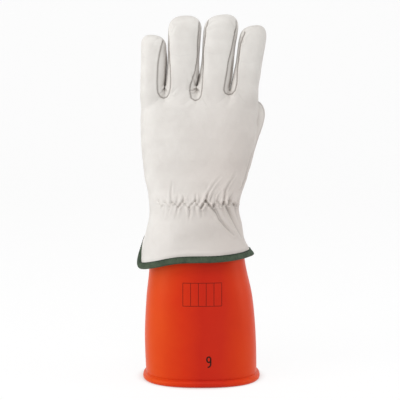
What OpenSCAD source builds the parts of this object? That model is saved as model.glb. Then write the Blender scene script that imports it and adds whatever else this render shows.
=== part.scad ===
// Insulating glove of dipped rubber with a leather protector glove worn over it.
// A left hand stands on its rolled cuff bead, fingers up (+Z).
// The back of the hand faces -Y, the palm faces +Y and the thumb is on the +X side.
// The origin is on the ground, at the middle of the bounding box.

/* [Rubber glove] */
// Wall of the rubber
rubber_t = 1.2; // [0.8:0.1:2]
// Width of the sleeve just above its bead
sleeve_w = 112.5; // [104:0.5:120]
// Depth of the sleeve just above its bead
sleeve_d = 78; // [72:1:84]
// Width of the sleeve where it goes under the leather hem
sleeve_top_w = 97; // [92:1:100]
// Depth of the sleeve where it goes under the leather hem
sleeve_top_d = 72; // [68:1:74]
// Sideways place of the sleeve's middle at the bead
sleeve_x = 1.75; // [-2:0.25:4]
// Radius of the rolled bead
bead_r = 3.2; // [2.4:0.2:4]
// Room left between the leather and the rubber
ease = 0.6; // [0.4:0.1:1]

/* [Protector leather] */
// Thickness of the grain leather
leather_t = 1.2; // [0.9:0.1:1.6]
// Gap where two pieces are sewn edge to edge
seam_gap = 0.3; // [0.2:0.05:0.5]
// Half angle of the strips that make a finger's sides
strip_angle = 40; // [30:1:48]

/* [Gauntlet hem] */
// Height of the leather's lower edge at the sides
hem_z = 119; // [112:1:124]
// Width of the gauntlet at its hem
hem_w = 116.5; // [110:0.5:124]
// Depth of the gauntlet at its hem
hem_d = 88; // [82:1:94]
// How much higher the hem is on the back of the hand
hem_front_lift = 5.5; // [0:0.5:8]
// How much the hem rises from its middle to the thumb side
hem_side_lift = 3.5; // [0:0.5:6]
// Height of the vent in the hem, on the little finger side
vent_h = 20; // [8:1:24]
// Height of the fabric binding on the hem
binding_h = 6.5; // [5:0.5:8]
// Thickness of the binding tape
binding_t = 0.8; // [0.5:0.1:1]
// Room between the tape and the leather it folds over
binding_gap = 0.15; // [0.1:0.05:0.25]

/* [Cuff and wrist] */
// Height of the middle of the gauntlet
cuff_z = 146; // [142:1:150]
// Width of the middle of the gauntlet
cuff_w = 99; // [94:1:102]
// Depth of the middle of the gauntlet
cuff_d = 74; // [70:1:78]
// Room between the middle of the gauntlet and the sleeve in it
cuff_room = 2.5; // [1.5:0.5:4]
// Height of the narrowest part of the wrist
wrist_z = 174; // [170:1:177]
// Width of the wrist
wrist_w = 89; // [86:1:92]
// Depth of the wrist
wrist_d = 64; // [60:1:68]
// Sideways place of the wrist's middle
wrist_x = -5.5; // [-7:0.5:-3]
// Height of the middle of the elastic on the back of the wrist
elastic_z = 179.5; // [178:0.5:183]
// Height of the elastic tape
elastic_h = 10; // [8:1:12]
// Thickness of the elastic tape
elastic_t = 0.7; // [0.5:0.1:0.8]
// Room on each side of the elastic tape
elastic_gap = 0.25; // [0.2:0.05:0.35]
// Points of the zigzag stitching
zigzag_points = 25; // [15:2:31]
// Width of the zigzag stitching
zigzag_h = 6.8; // [5:0.2:7.6]
// Thickness of the stitching thread
thread_t = 0.8; // [0.5:0.1:1]

/* [Hand] */
// Height of the heel of the hand
heel_z = 206; // [202:1:210]
// Width of the heel of the hand
heel_w = 102; // [98:1:106]
// Depth of the heel of the hand
heel_d = 52; // [48:1:56]
// Height of the middle of the palm
palm_z = 240; // [236:1:244]
// Width of the middle of the palm
palm_w = 113.5; // [110:0.5:117]
// Depth of the middle of the palm
palm_d = 44; // [40:1:48]
// Height of the knuckle line
knuckle_z = 284; // [280:1:288]
// Depth of the hand at the knuckle line
knuckle_d = 27; // [26:1:30]
// Sideways place of the middle of the palm
palm_x = -1.8; // [-3:0.2:0]

/* [Fingers] */
// Gap between fingers at the knuckle line
finger_gap = 1; // [0.8:0.1:1.6]
// Width of the little finger
little_w = 22.8; // [21:0.2:24]
// Length of the little finger above the knuckle line
little_len = 60; // [56:1:64]
// Width of the ring finger
ring_w = 30.8; // [28:0.2:32]
// Length of the ring finger above the knuckle line
ring_len = 77.5; // [73:0.5:82]
// Width of the middle finger
middle_w = 31; // [28:0.2:32]
// Length of the middle finger above the knuckle line
middle_len = 79; // [75:0.5:84]
// Width of the index finger
index_w = 28.6; // [26:0.2:30]
// Length of the index finger above the knuckle line
index_len = 69; // [65:0.5:74]
// Depth of a finger at the knuckle line
finger_d = 26; // [24:0.5:28]
// Depth of a finger at its tip
fingertip_d = 23; // [21:0.5:25]

/* [Thumb] */
// Width of the thumb
thumb_w = 35; // [32:0.5:38]
// Depth of the thumb
thumb_d = 29; // [26:0.5:31]
// Length of the thumb from the middle of its root to the start of its round tip
thumb_len = 56; // [50:1:58]
// Sideways place of the thumb's root
thumb_x = 29; // [26:0.5:31]
// Height of the thumb's root
thumb_z = 213; // [211:1:218]
// Sideways lean of the thumb
thumb_lean = 18; // [12:1:24]
// Turn of the thumb's root round the hand, towards its side
thumb_turn = 20; // [14:1:24]
// Outer radius of the thumb's leather root
root_r = 14; // [12:0.5:14.5]
// Clearance round the thumb's root in the palm
root_gap = 0.3; // [0.2:0.1:0.5]

/* [Hidden] */

leather = [0.90, 0.88, 0.85];
rubber = [0.85, 0.25, 0.12];
tape = [0.27, 0.37, 0.30];

roundness = 2.5;       // exponent of the squared ovals that every section follows
ring_step = 10;        // degrees between points round the hand
joint_gap = 0.3;       // gap across a joint line
thumb_tip_lean = 2.5;  // lean of the thumb towards the palm
thumb_seat = 1.2;      // from the palm to the underside of the thumb's root
thumb_lift = thumb_seat + thumb_d / 2;
root_reach = 4;        // how far the thumb's root goes into the palm
hole_depth = 14;       // how far a hole for the root is cut into the palm
vent_angle = 150;      // where the vent is, round the hem
vent_spread = 30;      // degrees from the vent's middle to its side
elastic_reach = 70;    // degrees that the elastic covers each side of the back's middle
elastic_low = elastic_z - elastic_h / 2;
elastic_top = elastic_z + elastic_h / 2;

// Sections of the hand: height, middle, half width, half depth
function station(z, x, w, d) = [z, x, w / 2, d / 2];

finger_widths = [little_w, ring_w, middle_w, index_w];
finger_lengths = [little_len, ring_len, middle_len, index_len];
finger_leans = [0.8, 4.4, 7.8, 9.4];
finger_growths = [1.6, 1.0, 0.6, -1.2];

function sum(list, n) = n == 0 ? 0 : list[n - 1] + sum(list, n - 1);
fingers_w = sum(finger_widths, 4) + 3 * finger_gap;
function finger_x(i) =
    -fingers_w / 2 + sum(finger_widths, i) + i * finger_gap + finger_widths[i] / 2;

leather_stations = [
    station(hem_z, wrist_x + 0.8, hem_w, hem_d),
    station(cuff_z, wrist_x + 0.8, cuff_w, cuff_d),
    station(wrist_z, wrist_x, wrist_w, wrist_d),
    station(heel_z, wrist_x + 1.1, heel_w, heel_d),
    station(palm_z, palm_x, palm_w, palm_d),
    station(knuckle_z, 0, fingers_w + 0.6, knuckle_d)
];

// The rubber's outside, under the leather's elastic
under_elastic = leather_t + elastic_t + 4 * elastic_gap;
under_cuff = leather_t + cuff_room;
function under_wrist(z) = section(leather_stations, z) - [0, 0, under_elastic, under_elastic];
function under_gauntlet(z) = section(leather_stations, z) - [0, 0, under_cuff, under_cuff];
sleeve_stations = [
    station(0, sleeve_x, sleeve_w - 1, sleeve_d),
    station(hem_z * 0.37, sleeve_x - 1.25, sleeve_w - 0.5, sleeve_d + 1),
    station(hem_z * 0.7, sleeve_x - 2.15, sleeve_w - 6, sleeve_d - 1),
    station(hem_z * 0.95, sleeve_x - 3.85, sleeve_top_w, sleeve_top_d),
    under_gauntlet(cuff_z),
    under_wrist(elastic_low),
    under_wrist(elastic_top)
];

// A smooth curve through the stations
function slope(s, i) =
    let (low = max(i - 1, 0), high = min(i + 1, len(s) - 1))
    (s[high] - s[low]) / (s[high][0] - s[low][0]);
function span(s, z, i = 0) = (i >= len(s) - 2 || z < s[i + 1][0]) ? i : span(s, z, i + 1);
function section(s, z) =
    let (i = span(s, z), h = s[i + 1][0] - s[i][0], t = (z - s[i][0]) / h)
    (2 * pow(t, 3) - 3 * t * t + 1) * s[i] + (pow(t, 3) - 2 * t * t + t) * h * slope(s, i)
    + (3 * t * t - 2 * pow(t, 3)) * s[i + 1] + (pow(t, 3) - t * t) * h * slope(s, i + 1);

// A point of a squared oval, moved in by inset
function oval(v) = sign(v) * pow(abs(v), 2 / roundness);
function on_section(s, angle, inset, dz = 0) =
    [s[1] + (s[2] - inset) * oval(cos(angle)), (s[3] - inset) * oval(sin(angle)), s[0] + dz];

// Height of the leather's lower edge round the gauntlet
function vent(angle) = vent_h * max(0, 1 - abs(angle - vent_angle) / vent_spread);
function hem(angle) =
    hem_z + hem_side_lift * cos(angle) + hem_front_lift * max(0, -sin(angle)) + vent(angle);

// Heights of the hand's rings, from the hem to the knuckle line
cuff_rings = 5;
hand_rings = 9;
ring_count = cuff_rings + hand_rings + 3;
function ring_height(i, angle) =
    let (low = hem(angle) + binding_h, top = knuckle_z - joint_gap / 2)
    i == 0 ? hem(angle)
    : i <= cuff_rings + 1 ? low + (elastic_low - low) * (i - 1) / cuff_rings
    : elastic_top + (top - elastic_top) * (i - cuff_rings - 2) / hand_rings;
function hand_point(i, angle, inset) =
    on_section(section(leather_stations, ring_height(i, angle)), angle, inset);

// Where the edge of a half panel stops, so that the seam gap is left beside it
function seam_trim(depth) = asin(pow(seam_gap / 2 / depth, roundness / 2));
function half_angles(start, trim) =
    [for (a = [start : ring_step : start + 180]) min(max(a, start + trim), start + 180 - trim)];

// The solid between an outer and an inner sheet of points, rows by columns
module thick_sheet(outer, inner) {
    rows = len(outer);
    cols = len(outer[0]);
    count = rows * cols;
    points = concat([for (row = outer) each row], [for (row = inner) each row]);
    function at(r, c, side) = side * count + r * cols + c;
    faces = concat(
        [for (r = [0 : rows - 2], c = [0 : cols - 2])
            [at(r, c, 0), at(r + 1, c, 0), at(r + 1, c + 1, 0), at(r, c + 1, 0)]],
        [for (r = [0 : rows - 2], c = [0 : cols - 2])
            [at(r, c, 1), at(r, c + 1, 1), at(r + 1, c + 1, 1), at(r + 1, c, 1)]],
        [for (c = [0 : cols - 2], r = [0, rows - 1])
            r == 0 ? [at(r, c, 0), at(r, c + 1, 0), at(r, c + 1, 1), at(r, c, 1)]
            : [at(r, c, 0), at(r, c, 1), at(r, c + 1, 1), at(r, c + 1, 0)]],
        [for (r = [0 : rows - 2], c = [0, cols - 1])
            c == 0 ? [at(r, c, 0), at(r, c, 1), at(r + 1, c, 1), at(r + 1, c, 0)]
            : [at(r, c, 0), at(r + 1, c, 0), at(r + 1, c, 1), at(r, c, 1)]]
    );
    polyhedron(points, faces);
}

// The solid that a closed profile makes when each of its points runs round its own ring
module ring_solid(rings) {
    count = len(rings);
    cols = len(rings[0]);
    polyhedron(
        [for (ring = rings) each ring],
        [for (r = [0 : count - 1], c = [0 : cols - 1])
            let (up = (r + 1) % count, on = (c + 1) % cols)
            [r * cols + c, up * cols + c, up * cols + on, r * cols + on]]
    );
}

// A pouch: outer and inner rings of points from its mouth to its closed end
module pouch(outer, inner) {
    rows = len(outer);
    cols = len(outer[0]);
    count = rows * cols;
    points = concat([for (row = outer) each row], [for (row = inner) each row]);
    function at(r, c, side) = side * count + r * cols + c % cols;
    faces = concat(
        [for (r = [0 : rows - 2], c = [0 : cols - 1])
            [at(r, c, 0), at(r + 1, c, 0), at(r + 1, c + 1, 0), at(r, c + 1, 0)]],
        [for (r = [0 : rows - 2], c = [0 : cols - 1])
            [at(r, c, 1), at(r, c + 1, 1), at(r + 1, c + 1, 1), at(r + 1, c, 1)]],
        [for (c = [0 : cols - 1]) [at(0, c, 0), at(0, c + 1, 0), at(0, c + 1, 1), at(0, c, 1)]],
        [[for (c = [cols - 1 : -1 : 0]) at(rows - 1, c, 0)]],
        [[for (c = [0 : cols - 1]) at(rows - 1, c, 1)]]
    );
    polyhedron(points, faces);
}

all_angles = [for (a = [0 : ring_step : 359]) a];

// Middle of the bounding box, from the pieces that reach furthest
oval_power = roundness / (roundness - 1);
function oval_reach(a, b, angle) =
    pow(pow(a * sin(angle), oval_power) + pow(b * cos(angle), oval_power), 1 / oval_power);
tape_far = binding_gap + binding_t;
middle_x = (
    tape_point([-tape_far, -tape_far], 180)[0]
    + finger_x(3) + finger_leans[3] + (index_w + finger_growths[3]) / 2
) / 2;
middle_y = (
    tape_point([-tape_far, -tape_far], 270)[1] + palm_surface(thumb_x, thumb_z)
    + thumb_lift * cos(thumb_turn) + oval_reach(thumb_w / 2, thumb_d / 2, thumb_turn)
) / 2;
module place() {
    translate([-middle_x, -middle_y, 0])
        children();
}

// ---- Rubber glove ----

sleeve_foot = bead_r * 2.2;
sleeve_rings = 9;
function sleeve_point(z, angle, inset) =
    on_section(section(sleeve_stations, z), angle, inset);
function sleeve_ring(z, inset) = [for (a = all_angles) sleeve_point(z, a, inset)];
function bead_ring(z, inset) =
    [for (a = all_angles) let (p = sleeve_point(0, a, inset)) [p[0], p[1], z]];

// The rolled edge has a narrow flat under it, where it is pressed on the ground
module rubber_sleeve() {
    heights = concat(
        [for (i = [0 : sleeve_rings]) sleeve_foot + (elastic_low - sleeve_foot) * i / sleeve_rings],
        [elastic_top - joint_gap / 2]
    );
    color(rubber) ring_solid(concat(
        [for (z = heights) sleeve_ring(z, 0)],
        [for (i = [sleeve_rings + 1 : -1 : 0]) sleeve_ring(heights[i], rubber_t)],
        [for (a = [135 : 30 : 405])
            bead_ring(bead_r * (1 + sin(a) / cos(15)), rubber_t / 2 - bead_r * cos(a))]
    ));
}

// Rings of the rubber hand lie inside the leather's rings
function rubber_inset(i) = i <= cuff_rings + 2 ? under_elastic : leather_t + ease;
function rubber_hand_ring(i, inset) =
    [for (a = all_angles)
        let (p = hand_point(i, a, rubber_inset(i) + inset))
        i == cuff_rings + 2 ? p + [0, 0, joint_gap / 2] : p];

module thumb_frame() {
    translate([thumb_x, palm_surface(thumb_x, thumb_z), thumb_z])
        rotate([0, 0, -thumb_turn])
            children();
}

// Depth of the leather's palm side at a place
function palm_surface(x, z) =
    let (s = section(leather_stations, z))
    s[3] * pow(1 - pow(abs(x - s[1]) / s[2], roundness), 1 / roundness);

// A hole about the axis that the thumb swings on, up to the middle of its depth
module root_hole(r) {
    thumb_frame()
        rotate([-90, 0, 0])
            translate([0, 0, -hole_depth])
                cylinder(h = hole_depth + thumb_lift, r = r, $fn = 48);
}

module rubber_hand() {
    first = cuff_rings + 2;
    color(rubber) difference() {
        ring_solid(concat(
            [for (i = [first : ring_count - 1]) rubber_hand_ring(i, 0)],
            [for (i = [ring_count - 1 : -1 : first]) rubber_hand_ring(i, rubber_t)]
        ));
        root_hole(root_r + root_gap);
    }
}

// ---- Fingers ----

straight_rings = 5;
dome_angles = [20, 38, 54, 68, 79, 87];
finger_rings = straight_rings + len(dome_angles);
dome_share = 0.9;  // height of a fingertip's dome over its half width

// A ring of finger number f: height, middle, half width, half depth
function finger_ring(f, i, inset) =
    let (
        half_tip = (finger_widths[f] + finger_growths[f]) / 2,
        dome_h = half_tip * dome_share,
        straight = finger_lengths[f] - dome_h,
        t = min(1, i / (straight_rings - 1)),
        base = finger_widths[f] / 2,
        x = finger_x(f) + finger_leans[f] * t,
        half_w = base + (half_tip - base) * t - inset,
        half_d = (finger_d + (fingertip_d - finger_d) * t) / 2 - inset,
        z = knuckle_z + joint_gap / 2 + (straight - joint_gap / 2) * t
    )
    i < straight_rings ? [z, x, half_w, half_d]
    : let (a = dome_angles[i - straight_rings])
        [z + (dome_h - inset) * sin(a), x, half_w * cos(a), half_d * cos(a)];

// Half angle that a side strip covers at ring i: it narrows to a point on the dome
strip_last = straight_rings + 2;
function strip_half(i) =
    i > strip_last ? 0
    : strip_angle * (1 - 0.3 * min(1, i / (straight_rings - 1)))
        * (i < straight_rings ? 1 : (strip_last + 0.3 - i) / (strip_last + 1.3 - straight_rings));

function edge_trim(f, i, half) =
    let (s = finger_ring(f, i, 0))
    half == 0 ? seam_trim(s[3]) : seam_gap * 90 / PI / s[3];

// Points of a piece that spans from one angle to another, which may change along the finger
function finger_sheet(f, rows, columns, inset, low, high) =
    [for (i = rows)
        [for (c = [0 : columns])
            let (from = low[i], to = high[i])
            on_section(finger_ring(f, i, inset), from + (to - from) * c / columns, 0)]];

// The back or the palm of a finger; a side without a strip runs to the side seam
module finger_face(f, turn, strip_left, strip_right) {
    rows = [for (i = [0 : finger_rings - 1]) i];
    lefts = [for (i = rows) strip_left ? strip_half(i) : 0];
    rights = [for (i = rows) strip_right ? strip_half(i) : 0];
    first = turn == 0 ? rights : lefts;
    last = turn == 0 ? lefts : rights;
    low = [for (i = rows) turn + first[i] + edge_trim(f, i, first[i])];
    high = [for (i = rows) turn + 180 - last[i] - edge_trim(f, i, last[i])];
    color(leather) thick_sheet(
        finger_sheet(f, rows, 10, 0, low, high),
        finger_sheet(f, rows, 10, leather_t, low, high)
    );
}

// A side strip, centred on angle turn
module finger_strip(f, turn) {
    rows = [for (i = [0 : strip_last]) i];
    half = [for (i = rows) strip_half(i) - edge_trim(f, i, 1)];
    low = [for (h = half) turn - h];
    high = [for (h = half) turn + h];
    color(leather) thick_sheet(
        finger_sheet(f, rows, 4, 0, low, high),
        finger_sheet(f, rows, 4, leather_t, low, high)
    );
}

module rubber_finger(f) {
    inset = leather_t + ease;
    angles = [for (a = [0 : 15 : 359]) a];
    rows = [for (i = [0 : finger_rings - 2]) i];
    color(rubber) pouch(
        [for (i = rows) [for (a = angles) on_section(finger_ring(f, i, inset), a, 0)]],
        [for (i = rows) [for (a = angles) on_section(finger_ring(f, i, inset + rubber_t), a, 0)]]
    );
}

module rubber_little() { rubber_finger(0); }
module rubber_ring() { rubber_finger(1); }
module rubber_middle() { rubber_finger(2); }
module rubber_index() { rubber_finger(3); }

module little_back() { finger_face(0, 180, false, true); }
module little_palm() { finger_face(0, 0, false, true); }
module little_strip() { finger_strip(0, 0); }
module ring_back() { finger_face(1, 180, true, true); }
module ring_palm() { finger_face(1, 0, true, true); }
module ring_outer_strip() { finger_strip(1, 180); }
module ring_inner_strip() { finger_strip(1, 0); }
module middle_back() { finger_face(2, 180, true, true); }
module middle_palm() { finger_face(2, 0, true, true); }
module middle_outer_strip() { finger_strip(2, 180); }
module middle_inner_strip() { finger_strip(2, 0); }
module index_back() { finger_face(3, 180, true, false); }
module index_palm() { finger_face(3, 0, true, false); }
module index_strip() { finger_strip(3, 180); }

// ---- Thumb ----

pod_angles = [-86, -72, -56, -40, -20, 0, 20, 40, 56, 72, 86];

// A ring of the thumb's pod along its own axis: height, middle, half width, half depth
function pod_ring(k, inset) =
    let (a = pod_angles[k], r = thumb_w / 2 - inset)
    [(a > 0 ? thumb_len : 0) + r * 0.95 * sin(a), 0, r * cos(a), (thumb_d / 2 - inset) * cos(a)];
pod_rows = [0, 1, 2, 3, 4, 5, 5, 6, 7, 8, 9, 10];
function pod_level(j, inset) =
    let (s = pod_ring(pod_rows[j], inset))
    j == 6 ? [thumb_len, s[1], s[2], s[3]] : s;
function pod_sheet(start, inset) =
    [for (j = [0 : len(pod_rows) - 1])
        let (s = pod_level(j, inset), trim = seam_trim(pod_level(j, 0)[3]))
        [for (a = [start : 15 : start + 180])
            on_section(s, min(max(a, start + trim), start + 180 - trim), 0)]];

module thumb_place() {
    thumb_frame()
        translate([0, thumb_lift, 0])
            rotate([0, thumb_lean, 0])
                rotate([thumb_tip_lean, 0, 0])
                    children();
}

// The root: a short round collar about the axis that the thumb swings on.
// It runs up to the pod's inner surface.
module root_collar(r, inset) {
    difference() {
        thumb_frame()
            rotate([-90, 0, 0])
                translate([0, 0, -root_reach])
                    cylinder(h = root_reach + thumb_lift, r = r, $fn = 48);
        thumb_place() pod_solid(pod_rings(inset));
    }
}
function pod_rings(inset) =
    [for (j = [0 : len(pod_rows) - 1])
        [for (a = [0 : 15 : 359]) on_section(pod_level(j, inset), a, 0)]];

module thumb_outer() {
    color(leather) thumb_place() thick_sheet(pod_sheet(0, 0), pod_sheet(0, leather_t));
}

module thumb_inner() {
    color(leather) difference() {
        union() {
            thumb_place() thick_sheet(pod_sheet(180, 0), pod_sheet(180, leather_t));
            root_collar(root_r, leather_t);
        }
        root_hole(root_r - leather_t);
    }
}

module rubber_thumb() {
    inset = leather_t + ease;
    root = root_r - leather_t - ease;
    color(rubber) difference() {
        union() {
            thumb_place() difference() {
                pod_solid(pod_rings(inset));
                pod_solid(pod_rings(inset + rubber_t));
            }
            root_collar(root, inset + rubber_t);
        }
        root_hole(root - rubber_t);
    }
}

// A solid pod from its rings
module pod_solid(rings) {
    rows = len(rings);
    cols = len(rings[0]);
    polyhedron(
        [for (ring = rings) each ring],
        concat(
            [for (r = [0 : rows - 2], c = [0 : cols - 1])
                let (on = (c + 1) % cols)
                [r * cols + c, (r + 1) * cols + c, (r + 1) * cols + on, r * cols + on]],
            [[for (c = [0 : cols - 1]) c]],
            [[for (c = [cols - 1 : -1 : 0]) (rows - 1) * cols + c]]
        )
    );
}

// ---- Hand of the protector ----

function hand_sheet(start, inset) =
    [for (i = [0 : ring_count - 1])
        let (trim = seam_trim(wrist_d / 2))
        [for (a = half_angles(start, trim)) hand_point(i, a, inset)]];

module back_panel() {
    color(leather) thick_sheet(hand_sheet(180, 0), hand_sheet(180, leather_t));
}

module palm_panel() {
    color(leather) difference() {
        thick_sheet(hand_sheet(0, 0), hand_sheet(0, leather_t));
        root_hole(root_r + root_gap);
    }
}

// A point of the tape at angle a: p is its depth inside the leather and its height over the edge
function tape_point(p, a) =
    let (
        low = section(leather_stations, hem(a)),
        high = section(leather_stations, hem(a) + binding_h),
        t = p[1] / binding_h
    )
    on_section(low + (high - low) * t, a, p[0]);

// Tape folded over the hem, with the leather's edge inside it
module hem_binding() {
    near = binding_gap;
    far = tape_far;
    top = binding_h - far;
    profile = [
        [-far, top], [-far, -far], [leather_t + far, -far], [leather_t + far, top],
        [leather_t + near, top], [leather_t + near, -near], [-near, -near], [-near, top]
    ];
    color(tape) ring_solid([for (p = profile) [for (a = all_angles) tape_point(p, a)]]);
}

// The straight band of the wrist that the elastic is sewn to
function band_section(z) =
    let (low = section(leather_stations, elastic_low), high = section(leather_stations, elastic_top))
    low + (high - low) * (z - elastic_low) / elastic_h;

module wrist_elastic() {
    angles = [for (a = [270 - elastic_reach : ring_step : 270 + elastic_reach]) a];
    near = leather_t + elastic_gap;
    function sheet(inset) =
        [for (z = [elastic_low + 0.5, elastic_top - 0.5])
            [for (a = angles) on_section(band_section(z), a, inset)]];
    color("white") thick_sheet(sheet(near), sheet(near + elastic_t));
}

// Zigzag thread over the elastic, on the outside of the leather
module elastic_stitching() {
    reach = elastic_reach - 5;
    rise = 0.1;
    function corner(k) =
        let (
            a = 270 - reach + 2 * reach * k / (zigzag_points - 1),
            z = elastic_z + (k % 2 == 0 ? 1 : -1) * (zigzag_h - thread_t) / 2
        )
        [a, z];
    function edge(dz, inset) =
        [for (k = [0 : zigzag_points - 1])
            let (c = corner(k))
            on_section(band_section(c[1] + dz), c[0], inset)];
    half = thread_t * 0.7;
    color(leather) thick_sheet(
        [edge(-half, -rise - thread_t), edge(half, -rise - thread_t)],
        [edge(-half, -rise), edge(half, -rise)]
    );
}

place() rubber_sleeve();
place() rubber_hand();
place() rubber_little();
place() rubber_ring();
place() rubber_middle();
place() rubber_index();
place() rubber_thumb();
place() back_panel();
place() palm_panel();
place() hem_binding();
place() wrist_elastic();
place() elastic_stitching();
place() little_back();
place() little_palm();
place() little_strip();
place() ring_back();
place() ring_palm();
place() ring_outer_strip();
place() ring_inner_strip();
place() middle_back();
place() middle_palm();
place() middle_outer_strip();
place() middle_inner_strip();
place() index_back();
place() index_palm();
place() index_strip();
place() thumb_outer();
place() thumb_inner();
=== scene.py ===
# %% [markdown]
# # A rubber insulating glove in its leather protector
#
# The glove is a left hand standing on the rolled edge of its rubber sleeve. A pale leather
# protector is worn over the rubber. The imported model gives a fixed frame: its bodies say what
# moves, and its solids say where each piece lies. Here every solid is dressed with a finer
# surface. Lengths are in millimetres until a mesh is made, and then in metres.

# %% Load the frame
import math
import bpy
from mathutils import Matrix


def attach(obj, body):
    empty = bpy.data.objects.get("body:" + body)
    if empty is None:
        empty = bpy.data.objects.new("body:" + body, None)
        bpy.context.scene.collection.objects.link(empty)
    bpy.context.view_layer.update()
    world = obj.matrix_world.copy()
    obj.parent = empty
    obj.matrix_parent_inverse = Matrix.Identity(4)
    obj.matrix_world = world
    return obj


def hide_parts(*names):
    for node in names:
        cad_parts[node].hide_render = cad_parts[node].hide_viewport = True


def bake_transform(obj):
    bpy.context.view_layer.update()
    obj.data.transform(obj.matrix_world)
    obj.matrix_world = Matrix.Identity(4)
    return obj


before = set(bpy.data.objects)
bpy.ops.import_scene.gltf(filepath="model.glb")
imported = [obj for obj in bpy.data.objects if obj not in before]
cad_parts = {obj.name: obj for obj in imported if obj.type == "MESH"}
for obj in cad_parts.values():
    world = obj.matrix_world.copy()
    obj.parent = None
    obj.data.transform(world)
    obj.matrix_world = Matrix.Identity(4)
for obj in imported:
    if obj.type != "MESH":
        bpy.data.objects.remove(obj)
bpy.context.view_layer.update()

from types import SimpleNamespace

import bpy
import numpy as np
from mathutils import Vector
from mathutils.bvhtree import BVHTree

# %% [markdown]
# ## Camera, floor and light
#
# The camera stands a little above the glove and looks at the back of the hand. A long lens keeps
# the perspective flat, as in a catalogue. The floor and the backdrop are one pale sweep.
# Large soft lamps stand on the left and right, so that round forms turn darker in the middle and
# stay light at their edges.

# %% Camera
scene = bpy.context.scene
scene.view_settings.view_transform = "Standard"

AIM = Vector((-0.0006, -0.0041, 0.1805))
CAMERA_DISTANCE = 1.1
CAMERA_RISE = math.radians(7)
LENS_MM = 99.3

camera_data = bpy.data.cameras.new("camera")
camera_data.lens = LENS_MM
camera_data.sensor_width = 36
camera_data.clip_start = 0.01
camera_data.clip_end = 50
camera = bpy.data.objects.new("camera", camera_data)
scene.collection.objects.link(camera)
back = Vector((0, -math.cos(CAMERA_RISE), math.sin(CAMERA_RISE)))
camera.location = AIM + back * CAMERA_DISTANCE
camera.rotation_euler = (-back).to_track_quat("-Z", "Y").to_euler()
scene.camera = camera
print("camera at", tuple(round(v, 3) for v in camera.location))


# %% Nodes: a few short helpers
def new_material(name):
    """A node material with its shader and output ready."""
    material = bpy.data.materials.new(name)
    material.use_nodes = True
    tree = material.node_tree
    tree.nodes.clear()
    output = tree.nodes.new("ShaderNodeOutputMaterial")
    shader = tree.nodes.new("ShaderNodeBsdfPrincipled")
    tree.links.new(shader.outputs[0], output.inputs["Surface"])
    return material, tree, shader


def add_node(tree, kind, links=(), **settings):
    """A node with its settings; links are pairs of an input and what feeds it."""
    node = tree.nodes.new("ShaderNode" + kind)
    for key, value in settings.items():
        if hasattr(node, key):
            setattr(node, key, value)
        else:
            node.inputs[key.replace("_", " ")].default_value = value
    for socket, source in links:
        if hasattr(source, "is_output"):
            tree.links.new(source, node.inputs[socket])
        else:
            node.inputs[socket].default_value = source
    return node


def linear(red, green, blue):
    """A colour as a paint chart gives it, 0 to 255, turned into the renderer's own values."""
    def one(v):
        v = v / 255
        return v / 12.92 if v <= 0.04045 else ((v + 0.055) / 1.055) ** 2.4
    return (one(red), one(green), one(blue), 1.0)


print("a middle grey in the renderer's own values:", round(linear(128, 128, 128)[0], 3))


# %% Floor and backdrop
SWEEP_START_Y = 1.6
SWEEP_R = 0.8
SWEEP_STEPS = 12


def sweep_mesh():
    """One sheet that lies flat under the glove and curves up far behind it."""
    rows = []
    for i in range(SWEEP_STEPS + 1):
        turn = math.radians(90 * i / SWEEP_STEPS)
        rows.append((SWEEP_START_Y + SWEEP_R * math.sin(turn), SWEEP_R * (1 - math.cos(turn))))
    profile = [(-4.0, 0.0), (0.6, 0.0)] + rows + [(SWEEP_START_Y + SWEEP_R, 3.5)]
    points = [(x, y, z) for y, z in profile for x in (-5.0, 5.0)]
    faces = [(2 * i, 2 * i + 1, 2 * i + 3, 2 * i + 2) for i in range(len(profile) - 1)]
    mesh = bpy.data.meshes.new("floor")
    mesh.from_pydata(points, [], faces)
    return mesh


floor = bpy.data.objects.new("floor", sweep_mesh())
scene.collection.objects.link(floor)
for face in floor.data.polygons:
    face.use_smooth = True
print("floor: a sweep of", len(floor.data.polygons), "strips")


# %% Paper of the floor
FOOT_HALF_W, FOOT_HALF_D = 0.052, 0.042
WHITE_NEAR, WHITE_FAR = 0.05, 0.86


def seen_by_eye(tree):
    """1 for what the camera sees, also in mirrors and through glass, and 0 for other light."""
    ray = add_node(tree, "LightPath").outputs
    seen = add_node(tree, "Math", [(0, ray["Is Camera Ray"]), (1, ray["Is Glossy Ray"])],
                    operation="MAXIMUM")
    seen = add_node(tree, "Math", [(0, seen.outputs[0]), (1, ray["Is Transmission Ray"])],
                    operation="MAXIMUM")
    return seen.outputs[0]


floor_material, tree, shader = new_material("floor_paper")
shader.inputs["Base Color"].default_value = (0.92, 0.92, 0.92, 1)
shader.inputs["Roughness"].default_value = 0.9
# the eye sees mostly white paper, and a little of the real paper with the shadow on it;
# close to the bead the white share falls off, which paints a soft contact shadow round the
# glove, and the real shadow on the paper shows there too
place = add_node(tree, "TexCoord").outputs["Object"]
oval = add_node(tree, "VectorMath", [(0, place)], operation="MULTIPLY")
oval.inputs[1].default_value = (1 / FOOT_HALF_W, 1 / FOOT_HALF_D, 0)
far = add_node(tree, "VectorMath", [(0, oval.outputs[0])], operation="LENGTH").outputs["Value"]
whiteness = add_node(tree, "MapRange", [("Value", far)], interpolation_type="SMOOTHSTEP",
                     From_Min=0.98, From_Max=1.32, To_Min=WHITE_NEAR, To_Max=WHITE_FAR)
share = add_node(tree, "Math", [(0, seen_by_eye(tree)), (1, whiteness.outputs[0])],
                 operation="MULTIPLY")
white = add_node(tree, "Emission", Strength=1.04)
paper = add_node(tree, "MixShader", [(0, share.outputs[0]), (1, shader.outputs[0]),
                                     (2, white.outputs[0])])
tree.links.new(paper.outputs[0], tree.nodes["Material Output"].inputs["Surface"])
floor.data.materials.append(floor_material)
print("floor paper: white for", round(100 * WHITE_FAR), "% of what the eye sees")

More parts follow.
